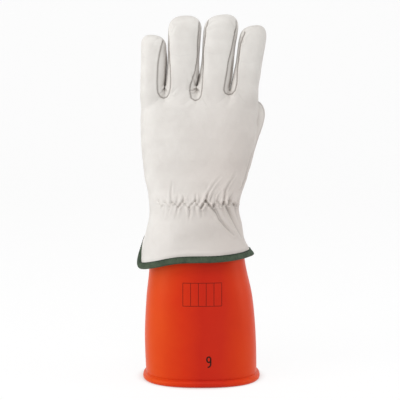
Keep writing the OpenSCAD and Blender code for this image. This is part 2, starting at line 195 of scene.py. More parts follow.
# %% World
SOFT_SKY, WHITE_SKY = 0.46, 1.0

world = bpy.data.worlds.new("studio")
scene.world = world
world.use_nodes = True
world_tree = world.node_tree
world_tree.nodes.clear()
world_output = world_tree.nodes.new("ShaderNodeOutputWorld")
skies = []
for strength in (SOFT_SKY, WHITE_SKY):
    skies.append(add_node(world_tree, "Background", Color=(1, 1, 1, 1), Strength=strength))
# the soft sky lights the glove, and the eye sees the white one instead
sky = add_node(world_tree, "MixShader", [(0, seen_by_eye(world_tree)), (1, skies[0].outputs[0]),
                                         (2, skies[1].outputs[0])])
world_tree.links.new(sky.outputs[0], world_output.inputs["Surface"])
print("sky: strength", SOFT_SKY, "as light,", WHITE_SKY, "for the eye")


# %% Lamps
GLOVE_MIDDLE = (0, 0, 0.19)


def soft_lamp(name, place, width, height, watts):
    """A large rectangle of light, turned to the glove."""
    data = bpy.data.lights.new(name, "AREA")
    data.shape = "RECTANGLE"
    data.size = width
    data.size_y = height
    data.energy = watts
    lamp = bpy.data.objects.new(name, data)
    lamp.location = place
    direction = Vector(GLOVE_MIDDLE) - Vector(place)
    lamp.rotation_euler = direction.to_track_quat("-Z", "Y").to_euler()
    scene.collection.objects.link(lamp)


soft_lamp("left_window", (-1.25, -0.72, 0.6), 0.8, 1.3, 10)
soft_lamp("right_window", (1.4, -0.25, 0.5), 0.6, 1.2, 5.5)
soft_lamp("top_panel", (-0.1, -0.55, 1.3), 0.6, 0.5, 4)

# %% [markdown]
# ## Sections of the glove
#
# A glove is a row of flattened ovals. Each oval has a height, a middle, half a width and half a
# depth, and a smooth curve joins them. The same ovals shape the solids of the frame, so the
# surfaces made here lie where the solids are. The fingers get ovals of their own, one list each.

# %% Ovals of the hand and the fingers
SHIFT = np.array([0.8030, 4.0900, 0.0])  # from these ovals to the frame, which is centred
ROUNDNESS = 2.5
LEATHER_T = 1.2
EASE = 0.6
RUBBER_T = 1.2
RUBBER_INSET = LEATHER_T + EASE
KNUCKLE_Z = 284.0
FINGERS = ["little", "ring", "middle", "index"]

HAND_OVALS = [
    # height, middle, half width, half depth
    (119.0, -4.7, 58.25, 44.0),
    (146.0, -4.7, 49.5, 37.0),
    (174.0, -5.5, 44.5, 32.0),
    (206.0, -3.8, 51.5, 26.0),
    (240.0, -1.8, 56.75, 22.0),
    (284.0, 0.0, 58.4, 13.5),
]
FINGER_OVALS = {
    "little": [
        (262, -46.6, 12.0, 15.5), (284, -46.7, 12.1, 13.2), (293, -46.5, 12.1, 12.8),
        (300, -45.95, 12.35, 12.5), (309, -45.3, 12.6, 12.3), (319, -44.8, 12.85, 12.0),
        (329, -45.1, 12.4, 11.6),
    ],
    "ring": [
        (262, -18.9, 15.5, 15.5), (284, -18.9, 15.55, 13.4), (293, -18.55, 15.8, 13.2),
        (300, -17.4, 16.1, 13.0), (309, -16.5, 16.05, 12.8), (319, -16.0, 15.5, 12.6),
        (334, -15.4, 15.9, 12.1), (344, -14.9, 16.2, 11.7), (351, -14.5, 16.4, 11.4),
    ],
    "middle": [
        (262, 13.0, 15.6, 15.5), (284, 13.0, 15.7, 13.4), (293, 13.45, 16.3, 13.2),
        (303, 15.5, 16.55, 12.9), (314, 17.2, 16.0, 12.7), (325, 18.2, 15.95, 12.4),
        (334, 18.9, 16.3, 12.1), (342, 19.9, 16.75, 11.8), (350, 20.8, 16.9, 11.5),
    ],
    "index": [
        (262, 43.9, 14.4, 15.5), (284, 43.8, 14.3, 13.4), (293, 44.05, 14.05, 13.0),
        (302, 45.8, 13.6, 12.7), (311, 47.4, 13.15, 12.5), (319, 48.7, 13.05, 12.3),
        (327, 49.9, 13.25, 12.0), (334, 50.9, 13.4, 11.8), (341, 51.9, 13.3, 11.5),
    ],
}
# start of the round tip, height of the round tip, and how the tip leans to the side
FINGER_TIPS = {
    "little": (330.6, 12.7, 0.12),
    "ring": (346.0, 16.0, -0.03),
    "middle": (347.3, 15.6, -0.12),
    "index": (338.6, 13.9, -0.15),
}
print("ovals:", len(HAND_OVALS), "for the hand,",
      sum(len(ovals) for ovals in FINGER_OVALS.values()), "for the fingers")


# %% The curve through ovals
def curve_through(rows, z):
    """Values of the smooth curve through the rows, at many heights."""
    s = np.asarray(rows, float)
    z = np.asarray(z, float)
    low = np.maximum(np.arange(len(s)) - 1, 0)
    high = np.minimum(np.arange(len(s)) + 1, len(s) - 1)
    slope = (s[high] - s[low]) / (s[high, :1] - s[low, :1])
    i = np.clip(np.searchsorted(s[:, 0], z, side="right") - 1, 0, len(s) - 2)
    h = (s[i + 1, 0] - s[i, 0])[..., None]
    t = (z - s[i, 0])[..., None] / h
    value = (2 * t**3 - 3 * t**2 + 1) * s[i] + (t**3 - 2 * t**2 + t) * h * slope[i]
    value += (3 * t**2 - 2 * t**3) * s[i + 1] + (t**3 - t**2) * h * slope[i + 1]
    return value[..., 1:]


def smooth_step(value, low, high):
    """0 below low, 1 above high, and a soft change between them."""
    t = np.clip((value - low) / (high - low), 0, 1)
    return t * t * (3 - 2 * t)


print("half width of the wrist:", curve_through(HAND_OVALS, np.array([174.0]))[0, 1], "mm")

# %% [markdown]
# ## One field for the whole hand
#
# Four fingers grow out of one palm, and soft webs lie between them. That shape is hard to draw as
# a grid, so it is described as a field: a number that is negative inside the leather and positive
# outside. Low on the hand the field is the palm's oval, high up it is the nearest finger's, and
# over the last 22 mm below the fork one turns into the other. Any mesh can be pulled onto the
# place where the field is zero.

# %% Fields of the palm and the fingers
FORK_LOW = 270.0
FORK_HIGH = 292.0


def oval_field(p, middle, half_w, half_d, end=0.0, power=ROUNDNESS):
    """About how far points lie outside an oval, in mm. end closes it like a dome."""
    u = np.abs(p[:, 0] - middle) / half_w
    v = np.abs(p[:, 1]) / half_d
    r = (u**power + v**power + end**power) ** (1 / power)
    return (r - 1) * half_d


def palm_field(p, inset=0.0):
    """The field of the palm and the wrist. inset moves it inwards."""
    middle, half_w, half_d = curve_through(HAND_OVALS, np.minimum(p[:, 2], KNUCKLE_Z)).T
    return oval_field(p, middle, half_w - inset, half_d - inset)


def finger_field(p, name, inset=0.0):
    """The field of one finger with its round tip."""
    start, height, lean = FINGER_TIPS[name]
    top = FINGER_OVALS[name][-1][0]
    z = np.clip(p[:, 2], FINGER_OVALS[name][0][0], top)
    middle, half_w, half_d = curve_through(FINGER_OVALS[name], z).T
    dome = (p[:, 2] - start + lean * (p[:, 0] - middle)) / (height - inset)
    dome = np.clip(dome, 0, None)
    return oval_field(p, middle, half_w - inset, half_d - inset, dome, 2.6)


def glove_field(p, owner, inset=0.0):
    """The hand's field. owner says which finger a point belongs to, above the fork."""
    share = smooth_step(p[:, 2], FORK_LOW, FORK_HIGH)
    fingers = np.stack([finger_field(p, name, inset) for name in FINGERS])
    own = np.take_along_axis(fingers, owner[None, :], axis=0)[0]
    soft = 2.5 * (1 - share) + 0.05
    nearest = fingers.min(axis=0)
    mixed = nearest - soft * np.log(np.exp(-(fingers - nearest) / soft).sum(axis=0))
    finger = np.where(p[:, 2] > FORK_HIGH, own, mixed)
    return (1 - share) * palm_field(p, inset) + share * finger


hand_heart = np.array([[0.0, 0.0, 240.0]])
print("field in the middle of the hand:", round(float(palm_field(hand_heart)[0]), 1), "mm")


# %% Pulling points onto a field
def pull_onto(field, p, rounds=8, most=1.2):
    """Moves points along a field's slope until they lie where it is zero."""
    step = 0.02
    for _ in range(rounds):
        value = field(p)
        slope = np.empty_like(p)
        for axis in range(3):
            moved = p.copy()
            moved[:, axis] += step
            slope[:, axis] = (field(moved) - value) / step
        square = np.maximum((slope**2).sum(axis=1), 1e-3)
        move = -(value / square)[:, None] * slope
        length = np.linalg.norm(move, axis=1)
        move *= np.minimum(1, most / np.maximum(length, 1e-9))[:, None]
        p = p + move
    return p


pulled = pull_onto(palm_field, np.array([[30.0, -30.0, 240.0]]))
print("a point pulled onto the back of the hand:", pulled[0].round(2))

# %% [markdown]
# A rough closed model comes first: a loft for the palm and one for each finger, with the fingers
# spread apart so that they can't grow together. Blender's voxel remesh turns them into one skin of
# even quads. Then the fingers go back to their places, and the skin is pulled onto the field.

# %% A loft through ovals
def loft(rings):
    """A closed mesh through rings of points, with flat ends."""
    rows, columns = len(rings), len(rings[0])
    faces = []
    for r in range(rows - 1):
        for c in range(columns):
            on = (c + 1) % columns
            faces.append((r * columns + c, r * columns + on,
                          (r + 1) * columns + on, (r + 1) * columns + c))
    faces.append(tuple(range(columns))[::-1])
    faces.append(tuple((rows - 1) * columns + c for c in range(columns)))
    return [tuple(p) for ring in rings for p in ring], faces


def oval_ring(z, middle, half_w, half_d, count=40, power=ROUNDNESS):
    """Points of one oval, counted from the thumb side towards the palm."""
    turn = np.arange(count) * 2 * math.pi / count
    cos, sin = np.cos(turn), np.sin(turn)
    x = middle + half_w * np.sign(cos) * np.abs(cos) ** (2 / power)
    y = half_d * np.sign(sin) * np.abs(sin) ** (2 / power)
    return np.stack([x, y, np.full(count, float(z))], axis=1)


print("an oval starts at the thumb side:", oval_ring(240, 0, 57, 22)[0].round(1))

# %% Spread of the fingers
SPREAD = 5.0
FINGER_GAP = 0.15


def spread_of(name, z):
    """How far to the side a finger of the rough model is moved, at heights z."""
    return (FINGERS.index(name) - 1.5) * SPREAD * smooth_step(np.asarray(z, float), 268, 286)


def finger_edges(z):
    """Left and right edges of all four fingers at heights z, in the rough model and for real."""
    edges = []
    for name in FINGERS:
        middle, half_w, _ = curve_through(
            FINGER_OVALS[name], np.clip(z, FINGER_OVALS[name][0][0], FINGER_OVALS[name][-1][0])
        ).T
        edges += [middle - half_w, middle + half_w]
    real = np.stack(edges)
    for i in (1, 3, 5):  # two fingers never share a place
        meet = (real[i] + real[i + 1]) / 2
        real[i] = np.minimum(real[i], meet - FINGER_GAP)
        real[i + 1] = np.maximum(real[i + 1], meet + FINGER_GAP)
    rough = real + np.stack([spread_of(name, z) for name in FINGERS for _ in range(2)])
    return rough, real


def close_fingers(p):
    """Brings points of the rough model back to their places, and says whose they are."""
    rough, real = finger_edges(p[:, 2])
    x = p[:, 0]
    place = x + (real[0] - rough[0])
    for i in range(7):
        t = (x - rough[i]) / (rough[i + 1] - rough[i])
        inside = (t > 0) & (t <= 1)
        place = np.where(inside, real[i] + t * (real[i + 1] - real[i]), place)
    place = np.where(x > rough[7], x + (real[7] - rough[7]), place)
    owner = sum((x > (rough[i] + rough[i + 1]) / 2).astype(int) for i in (1, 3, 5))
    closed = p.copy()
    closed[:, 0] = place
    return closed, owner


print("outer fingers move aside by", abs(float(spread_of("little", 300))), "mm")


# %% The rough hand
TIP_RINGS = np.array([0.25, 0.45, 0.62, 0.76, 0.87, 0.95])


def rough_hand(low_z, inset):
    """Meshes of the palm and the spread fingers that overlap each other."""
    meshes = []
    rings = []
    for z in np.linspace(low_z, 288, 40):
        middle, half_w, half_d = curve_through(HAND_OVALS, np.array([min(z, KNUCKLE_Z)]))[0]
        wide = float(spread_of("index", z))
        rings.append(oval_ring(z, middle, half_w + wide - inset - 1, half_d - inset - 0.5))
    meshes.append(loft(rings))
    for name in FINGERS:
        start, height, lean = FINGER_TIPS[name]
        top = FINGER_OVALS[name][-1][0]
        rings = []
        for z in np.append(np.linspace(276, start, 16), start + height * TIP_RINGS):
            middle, half_w, half_d = curve_through(FINGER_OVALS[name], np.array([min(z, top)]))[0]
            shrink = (1 - max(0, (z - start) / height) ** 2.6) ** (1 / 2.6)
            ring = oval_ring(z, middle, (half_w - inset) * shrink, (half_d - inset) * shrink)
            ring[:, 2] -= lean * (ring[:, 0] - middle) * smooth_step(z, start - 12, start)
            ring[:, 0] += spread_of(name, ring[:, 2])
            rings.append(ring)
        meshes.append(loft(rings))
    return meshes


print("rough hand:", len(rough_hand(100.0, 0.0)), "closed forms")


# %% One skin from a remesh
def largest_part(p, quads):
    """Only the biggest connected part of a mesh, because a remesh can leave small bubbles."""
    label = np.arange(len(p))
    while True:
        lowest = label[quads].min(axis=1)
        new = label.copy()
        for corner in range(4):
            np.minimum.at(new, quads[:, corner], lowest)
        new = new[new]
        if (new == label).all():
            break
        label = new
    part = label[quads[:, 0]]
    quads = quads[part == np.bincount(part).argmax()]
    used, local = np.unique(quads, return_inverse=True)
    return p[used], local.reshape(-1, 4)


def remeshed(meshes, voxel_mm):
    """One skin round several closed meshes. Points in mm."""
    points, faces = [], []
    for part_points, part_faces in meshes:
        base = len(points)
        points += part_points
        faces += [tuple(base + i for i in face) for face in part_faces]
    mesh = bpy.data.meshes.new("rough")
    mesh.from_pydata(points, [], faces)
    thing = bpy.data.objects.new("rough", mesh)
    scene.collection.objects.link(thing)
    remesh = thing.modifiers.new("remesh", "REMESH")
    remesh.mode = "VOXEL"
    remesh.voxel_size = voxel_mm
    remesh.adaptivity = 0
    evaluated = thing.evaluated_get(bpy.context.evaluated_depsgraph_get())
    found = evaluated.to_mesh()
    p = np.empty(len(found.vertices) * 3)
    found.vertices.foreach_get("co", p)
    corners = np.empty(len(found.loops), int)
    found.loops.foreach_get("vertex_index", corners)
    quads = corners.reshape(-1, 4)
    evaluated.to_mesh_clear()
    bpy.data.objects.remove(thing)
    return largest_part(p.reshape(-1, 3), quads)


test_p, test_quads = remeshed([loft([oval_ring(z, 0, 10, 8) for z in (0, 20)])], 2.0)
print("a plain oval block, remeshed:", len(test_quads), "quads")


# %% Edges, smoothing and splitting
def edges_of(quads):
    """Each edge of a quad mesh once, and for each quad the numbers of its four edges."""
    pairs = np.stack([quads, np.roll(quads, -1, axis=1)], axis=2).reshape(-1, 2)
    pairs.sort(axis=1)
    edges, back_to = np.unique(pairs, axis=0, return_inverse=True)
    return edges, back_to.reshape(-1, 4)


def relaxed(p, edges, rounds, amount=0.5):
    """Points moved towards the middle of their neighbours."""
    count = np.bincount(edges.ravel(), minlength=len(p))[:, None]
    for _ in range(rounds):
        total = np.zeros_like(p)
        for axis in range(3):
            total[:, axis] += np.bincount(edges[:, 0], p[edges[:, 1], axis], len(p))
            total[:, axis] += np.bincount(edges[:, 1], p[edges[:, 0], axis], len(p))
        p = p + amount * (total / np.maximum(count, 1) - p)
    return p


def split_quads(p, quads):
    """Each quad becomes four, with new points on its edges and in its middle."""
    edges, of_quad = edges_of(quads)
    middles = p[edges].mean(axis=1)
    centres = p[quads].mean(axis=1)
    points = np.concatenate([p, middles, centres])
    first, second = len(p), len(p) + len(edges)
    m = first + of_quad
    centre = second + np.arange(len(quads))
    finer = [np.stack([quads[:, i], m[:, i], centre, m[:, i - 1]], axis=1) for i in range(4)]
    return points, np.concatenate(finer)


print("the same block, split:", len(split_quads(test_p, test_quads)[1]), "quads")


# %% The skin of the hand
def hand_skin(low_z, inset, voxel_mm):
    """The closed skin of hand and fingers on its field, with each point's finger."""
    p, quads = remeshed(rough_hand(low_z, inset), voxel_mm)
    edges, _ = edges_of(quads)
    p = relaxed(p, edges, 3)
    p, owner = close_fingers(p)
    for _ in range(3):
        p = pull_onto(lambda q: glove_field(q, owner, inset), p, 4)
        p = relaxed(p, edges, 2, 0.4)
    p = pull_onto(lambda q: glove_field(q, owner, inset), p, 8)
    owner = np.concatenate([owner, owner[edges[:, 0]], owner[quads[:, 0]]])
    p, quads = split_quads(p, quads)
    p = pull_onto(lambda q: glove_field(q, owner, inset), p, 5)
    return p, quads, owner


LEATHER_LOW_Z = 100.0
LEATHER_VOXEL = 1.58
skin, skin_quads, skin_owner = hand_skin(LEATHER_LOW_Z, 0.0, LEATHER_VOXEL)
flat_skin = skin.copy()
side_length = np.linalg.norm(skin[skin_quads[:, 0]] - skin[skin_quads[:, 1]], axis=1)
print("one quad of the leather is about", round(float(np.median(side_length)), 2), "mm wide")

# %% [markdown]
# ## Leather, rubber, tape and thread
#
# The protector is smooth grain leather: off-white, with faint pores, soft clouds of tone and
# small dark lines where it is sewn, partly painted shade in their grooves. Painted shade also
# darkens its folds and slits, its thumb side and its wrist. Its inner face is rougher and warmer.
# The insulating glove is dipped rubber with a satin skin, painted lighter at its sides and darker
# in the middle as light and shade. The tape is woven, and the thread is twisted. All of it comes
# from noise in the object's own space, so it stays in place when the glove moves.

# %% Noise, colour and bump
def cloud(tree, place, scale, detail=3.0, rough=0.55):
    """Soft noise whose size is given as waves for each metre."""
    return add_node(tree, "TexNoise", [("Vector", place)], Scale=scale, Detail=detail,
                    Roughness=rough)


def grade(tree, source, low, high, dark, light):
    """A number turned into a colour between two."""
    node = add_node(tree, "ValToRGB", [("Fac", source)])
    node.color_ramp.elements[0].position = low
    node.color_ramp.elements[1].position = high
    node.color_ramp.elements[0].color = dark
    node.color_ramp.elements[1].color = light
    return node.outputs["Color"]


def bump(tree, height, distance, strength=1.0, below=None):
    """A normal from a height. distance is in metres, and below is a normal under this one."""
    links = [("Height", height)]
    if below is not None:
        links.append(("Normal", below))
    node = add_node(tree, "Bump", links, Strength=strength, Distance=distance)
    return node.outputs["Normal"]


def mix_colour(tree, share, first, second):
    """The first colour where share is 0, the second where it is 1."""
    node = tree.nodes.new("ShaderNodeMix")
    node.data_type = "RGBA"
    for socket, source in ((node.inputs["Factor"], share), (node.inputs[6], first),
                           (node.inputs[7], second)):
        if hasattr(source, "is_output"):
            tree.links.new(source, socket)
        else:
            socket.default_value = source
    return node.outputs[2]


print("light leather in the renderer's own values:", [round(v, 3) for v in linear(232, 229, 224)])


# %% Material of the leather
# the tint of the painted shade towards the wrist and the thumb side
ROSY_SHADE_TINT = (0.93, 0.885, 0.87, 1.0)


def leather_material(name, dark, light, seam, grain_mm, grain_depth, roughness):
    """Leather from a darker and a lighter tone, with pores grain_mm apart. seam is the colour of
    dark seam lines and painted shade.
    """
    material, tree, shader = new_material(name)
    place = add_node(tree, "TexCoord").outputs["Object"]
    mottle = cloud(tree, place, 34, 4).outputs["Fac"]
    base = grade(tree, mottle, 0.35, 0.68, dark, light)
    # painted shade: the leather turns darker and a little rosier towards the wrist and the thumb
    # side
    axes = add_node(tree, "SeparateXYZ", [(0, place)])
    aside = add_node(tree, "MapRange", [("Value", axes.outputs["X"])], From_Min=-0.055,
                     From_Max=0.03)
    down = add_node(tree, "MapRange", [("Value", axes.outputs["Z"])], From_Min=0.32,
                    From_Max=0.21)
    share = add_node(tree, "Math", [(0, aside.outputs[0]), (1, down.outputs[0])],
                     operation="MULTIPLY")
    rosy_shade = [channel * tint for channel, tint in zip(dark, ROSY_SHADE_TINT)]
    base = mix_colour(tree, share.outputs[0], base, rosy_shade)
    # the attribute darkens seam lines and paints shade in folds, slits and grooves
    seam_and_shade_share = add_node(tree, "Attribute", attribute_name="seams_and_painted_shade").outputs["Fac"]
    colour = mix_colour(tree, seam_and_shade_share, base, seam)
    tree.links.new(colour, shader.inputs["Base Color"])
    cells = add_node(tree, "TexVoronoi", [("Vector", place)], feature="SMOOTH_F1",
                     Scale=1000 / grain_mm, Smoothness=0.6)
    fine = cloud(tree, place, 420, 3).outputs["Fac"]
    wrinkle = cloud(tree, place, 95, 2).outputs["Fac"]
    normal = bump(tree, wrinkle, 0.0009, 0.5)
    normal = bump(tree, fine, 0.00022, 0.6, normal)
    normal = bump(tree, cells.outputs["Distance"], grain_depth, 0.7, normal)
    tree.links.new(normal, shader.inputs["Normal"])
    gloss = add_node(tree, "MapRange", [("Value", fine)], To_Min=roughness - 0.06,
                     To_Max=roughness + 0.08)
    tree.links.new(gloss.outputs[0], shader.inputs["Roughness"])
    shader.inputs["Specular IOR Level"].default_value = 0.32
    return material


# the third colour is that of the seam lines and the painted shade
leather = leather_material(
    "grain_leather", linear(221, 217, 212), linear(232, 229, 224), linear(140, 132, 126),
    1.1, 0.00008, 0.52)
flesh_side = leather_material(
    "leather_inner_face", linear(198, 189, 174), linear(214, 205, 190), linear(150, 140, 126),
    0.7, 0.0002, 0.86)
print("leather nodes:", len(leather.node_tree.nodes))


# %% Material of the rubber
RUBBER_LEFT, RUBBER_RIGHT = -0.058, 0.060


def rubber_material(name, tones, roughness):
    """Dipped rubber. tones are colours from the little finger side to the thumb side."""
    material, tree, shader = new_material(name)
    place = add_node(tree, "TexCoord").outputs["Object"]
    across = add_node(tree, "SeparateXYZ", [(0, place)]).outputs["X"]
    streak = cloud(tree, place, 22, 3).outputs["Fac"]
    wander = add_node(tree, "MapRange", [("Value", streak)], To_Min=-0.012, To_Max=0.012)
    moved = add_node(tree, "Math", [(0, across), (1, wander.outputs[0])], operation="ADD")
    share = add_node(tree, "MapRange", [("Value", moved.outputs[0])], From_Min=RUBBER_LEFT,
                     From_Max=RUBBER_RIGHT)
    ramp = add_node(tree, "ValToRGB", [("Fac", share.outputs[0])])
    stops = ramp.color_ramp.elements
    while len(stops) < len(tones):
        stops.new(0.5)
    for i, tone in enumerate(tones):
        stops[i].position = i / (len(tones) - 1)
        stops[i].color = tone
    tree.links.new(ramp.outputs["Color"], shader.inputs["Base Color"])
    satin = cloud(tree, place, 900, 2).outputs["Fac"]
    flow = cloud(tree, place, 60, 2).outputs["Fac"]
    normal = bump(tree, flow, 0.0005, 0.25)
    normal = bump(tree, satin, 0.00006, 0.4, normal)
    tree.links.new(normal, shader.inputs["Normal"])
    gloss = add_node(tree, "MapRange", [("Value", flow)], To_Min=roughness - 0.04,
                     To_Max=roughness + 0.05)
    tree.links.new(gloss.outputs[0], shader.inputs["Roughness"])
    shader.inputs["Specular IOR Level"].default_value = 0.27
    shader.inputs["Specular Tint"].default_value = (1.0, 0.5, 0.3, 1.0)
    return material


# painted light and shade: a lighter orange towards both sides and a darker red in the middle,
# where less light falls
rubber_lit_and_shaded_tones = [
    linear(223, 80, 20), linear(221, 69, 19), linear(214, 50, 20), linear(200, 38, 23),
    linear(203, 42, 25), linear(219, 59, 22), linear(226, 74, 25),
]
rubber = rubber_material("dipped_rubber", rubber_lit_and_shaded_tones, 0.4)
rubber_inside = rubber_material("rubber_inner_face", [
    linear(206, 76, 38), linear(196, 60, 36), linear(202, 70, 40)], 0.7)
print("rubber:", len(rubber_lit_and_shaded_tones), "tones from side to side")


# %% Materials of the tape, the elastic, the thread and the ink
WAVE_SCALE = 50 * math.tau  # a wave texture of this scale repeats once for each millimetre


def woven_material(name, dark, light, thread_mm, depth, roughness):
    """Cloth from two sets of crossed waves."""
    material, tree, shader = new_material(name)
    place = add_node(tree, "TexCoord").outputs["Object"]
    waves = []
    for direction in ("DIAGONAL", "Z"):
        waves.append(add_node(tree, "TexWave", [("Vector", place)], bands_direction=direction,
                              Scale=WAVE_SCALE / thread_mm, Distortion=0.6,
                              Detail=1.0).outputs["Fac"])
    both = add_node(tree, "Math", [(0, waves[0]), (1, waves[1])], operation="MULTIPLY")
    cloudy = cloud(tree, place, 150, 3).outputs["Fac"]
    mixed = add_node(tree, "Math", [(0, both.outputs[0]), (1, cloudy)], operation="ADD")
    base = grade(tree, mixed.outputs[0], 0.35, 1.3, dark, light)
    tree.links.new(base, shader.inputs["Base Color"])
    tree.links.new(bump(tree, both.outputs[0], depth, 0.8), shader.inputs["Normal"])
    shader.inputs["Roughness"].default_value = roughness
    shader.inputs["Specular IOR Level"].default_value = 0.3
    return material


tape_cloth = woven_material("binding_tape", linear(40, 52, 40), linear(84, 100, 79), 0.7,
                            0.00022, 0.72)
elastic_cloth = woven_material("elastic_tape", linear(214, 211, 205), linear(236, 234, 229), 0.9,
                               0.0003, 0.8)
thread_cotton = woven_material("sewing_thread", linear(202, 197, 190), linear(220, 215, 208), 0.4,
                               0.0001, 0.75)
# the tape's thread is darker than the tape, so its row also paints a shadow line along the tape's
# upper edge
tape_thread = woven_material("tape_thread", linear(24, 30, 26), linear(44, 54, 46), 0.4,
                             0.0001, 0.7)
grid_ink = rubber_material("grid_ink", [linear(88, 18, 16), linear(106, 24, 20)], 0.5)
number_ink = rubber_material("number_ink", [linear(24, 14, 14), linear(36, 20, 20)], 0.5)
print("materials:", sorted(material.name for material in bpy.data.materials))

# %% [markdown]
# ## The skin of the protector
#
# Everything that makes a plain skin look like sewn leather is a small move along its normal: the
# groove of a seam, the sunken strip between two fingers, folds that fan out from the elastic, and
# slow waves all over. Painted shade darkens the seams, folds and slits as well. Seams and folds
# are drawn as lines seen from the back of the hand, as a pattern cutter would mark them.

# %% Seams between the fingers
# Seams of the strips between two fingers: left side, bottom of the U, right side (x, z)
STRIP_SEAMS = [
    ([(-34.6, 341), (-37.3, 332.4), (-39.0, 324.7), (-40.3, 317), (-41.0, 307), (-41.4, 298),
      (-41.2, 291), (-40.6, 287), (-38.4, 283.4), (-35.2, 282)],
     [(-35.2, 282), (-32.0, 283.6), (-29.9, 287), (-28.8, 292), (-28.4, 300), (-28.9, 309),
      (-29.6, 319), (-30.0, 333), (-30.4, 346), (-31.5, 354)]),
    ([(-0.6, 358), (-1.1, 348), (-1.6, 340), (-2.2, 328.5), (-2.8, 317), (-4.3, 308),
      (-7.0, 301), (-9.0, 295), (-9.5, 288), (-8.1, 282), (-4.4, 279.8)],
     [(-4.4, 279.8), (-0.8, 281.2), (1.2, 284.6), (2.0, 291), (2.3, 298), (2.4, 304),
      (2.8, 313), (3.6, 328), (4.6, 340), (5.9, 348), (8.5, 357)]),
    ([(36.0, 357), (35.3, 350), (33.4, 342), (31.4, 332.4), (29.6, 325), (27.7, 317),
      (26.6, 309), (25.2, 301), (24.0, 294), (23.4, 290), (24.7, 286.6), (28.2, 285)],
     [(28.2, 285), (31.9, 286.2), (34.6, 289.6), (36.0, 296), (36.5, 303.5), (37.1, 313),
      (37.8, 322), (39.0, 332), (41.2, 340), (43.5, 346)]),
]
# The slits where two fingers meet, which get painted shade
SLITS = [
    [(-31.7, 332), (-32.6, 318), (-33.4, 307.5), (-34.5, 292.5)],
    [(0.4, 308.5), (-1.1, 302), (-3.0, 292.5)],
    [(32.7, 325), (31.5, 317), (30.4, 307), (28.7, 292.5)],
]
print("lowest points of the seams:", [right[0] for _, right in STRIP_SEAMS])

# %% Folds of the wrist and the palm
# Folds: points (x, z), depth, width, strength at the first and at the last point
WRIST_FOLDS = [
    ([(-27.2, 181), (-27.9, 187), (-27.6, 194), (-27.0, 203)], 1.3, 0.9, 1.0, 0.1),
    ([(-21.9, 180), (-21.6, 187), (-20.8, 193)], 0.8, 0.9, 1.0, 0.0),
    ([(-19.9, 178), (-17.5, 182), (-14.6, 187), (-12.5, 194)], 1.0, 0.9, 1.0, 0.0),
    ([(-11.2, 177), (-7.8, 180), (-3.9, 185)], 1.0, 0.9, 1.0, 0.0),
    ([(1.8, 177), (5.6, 184), (8.9, 191.5), (13.4, 199), (20.0, 206)], 2.2, 1.0, 1.0, 0.1),
    ([(9.3, 183), (12.8, 190), (17.2, 196), (22.5, 200)], 1.2, 1.7, 1.0, 0.1),
    ([(21.4, 178), (23.6, 186), (25.0, 193.5), (28.4, 199.5), (32.2, 204.5), (34.6, 209)],
     2.1, 1.0, 1.0, 0.1),
    ([(13.0, 178), (13.9, 184), (15.4, 189), (20.4, 195)], 2.2, 0.9, 1.0, 0.1),
    ([(26.4, 179), (28.0, 185), (33.0, 191.5)], 2.2, 0.9, 1.0, 0.1),
    ([(34.2, 177), (35.6, 182), (38.8, 187)], 1.6, 0.9, 1.0, 0.0),
    ([(5.3, 183), (10.7, 177), (15.1, 172), (18.5, 165), (24.3, 158), (33.5, 149)],
     2.6, 1.0, 1.0, 0.3),
    ([(12.6, 179), (16.5, 173), (20.4, 165), (26.8, 156)], 2.0, 1.0, 1.0, 0.15),
    ([(22.4, 181), (26.3, 174), (30.2, 166), (38.0, 151), (41.0, 146)], 2.4, 1.0, 1.0, 0.25),
    ([(31.5, 180), (34.0, 172), (37.5, 163)], 1.5, 1.0, 1.0, 0.1),
    ([(-4.9, 177), (-4.0, 171), (-2.2, 166)], 0.6, 1.0, 1.0, 0.0),
    ([(-34.0, 178), (-34.8, 170), (-36.5, 163)], 0.5, 1.2, 1.0, 0.0),
    # where the thumb's side turns into the back of the hand
    ([(55.0, 236), (51.5, 228), (47.8, 214), (45.2, 205), (41.1, 194)], 1.5, 0.9, 0.5, 1.0),
]
PALM_FOLDS = [
    # where the palm closes, and the wrist on the palm's side
    ([(-50, 262), (-34, 256), (-14, 256), (4, 262), (16, 271)], 0.8, 1.7, 0.4, 0.8),
    ([(46, 252), (26, 254), (4, 247), (-16, 236), (-30, 226)], 0.8, 1.8, 0.9, 0.2),
    ([(30, 262), (14, 252), (2, 236), (-3, 216), (0, 198)], 0.9, 1.8, 0.3, 0.9),
    ([(-46, 187), (-30, 184.5), (-10, 185.5), (8, 184)], 0.7, 1.5, 0.5, 0.5),
    ([(-30, 178), (-12, 177), (10, 178.5), (30, 176)], 0.7, 1.5, 0.4, 0.6),
    ([(-18, 192), (-6, 199), (2, 208)], 0.6, 1.5, 1.0, 0.1),
]
print("folds of the wrist:", len(WRIST_FOLDS), "and of the palm:", len(PALM_FOLDS))

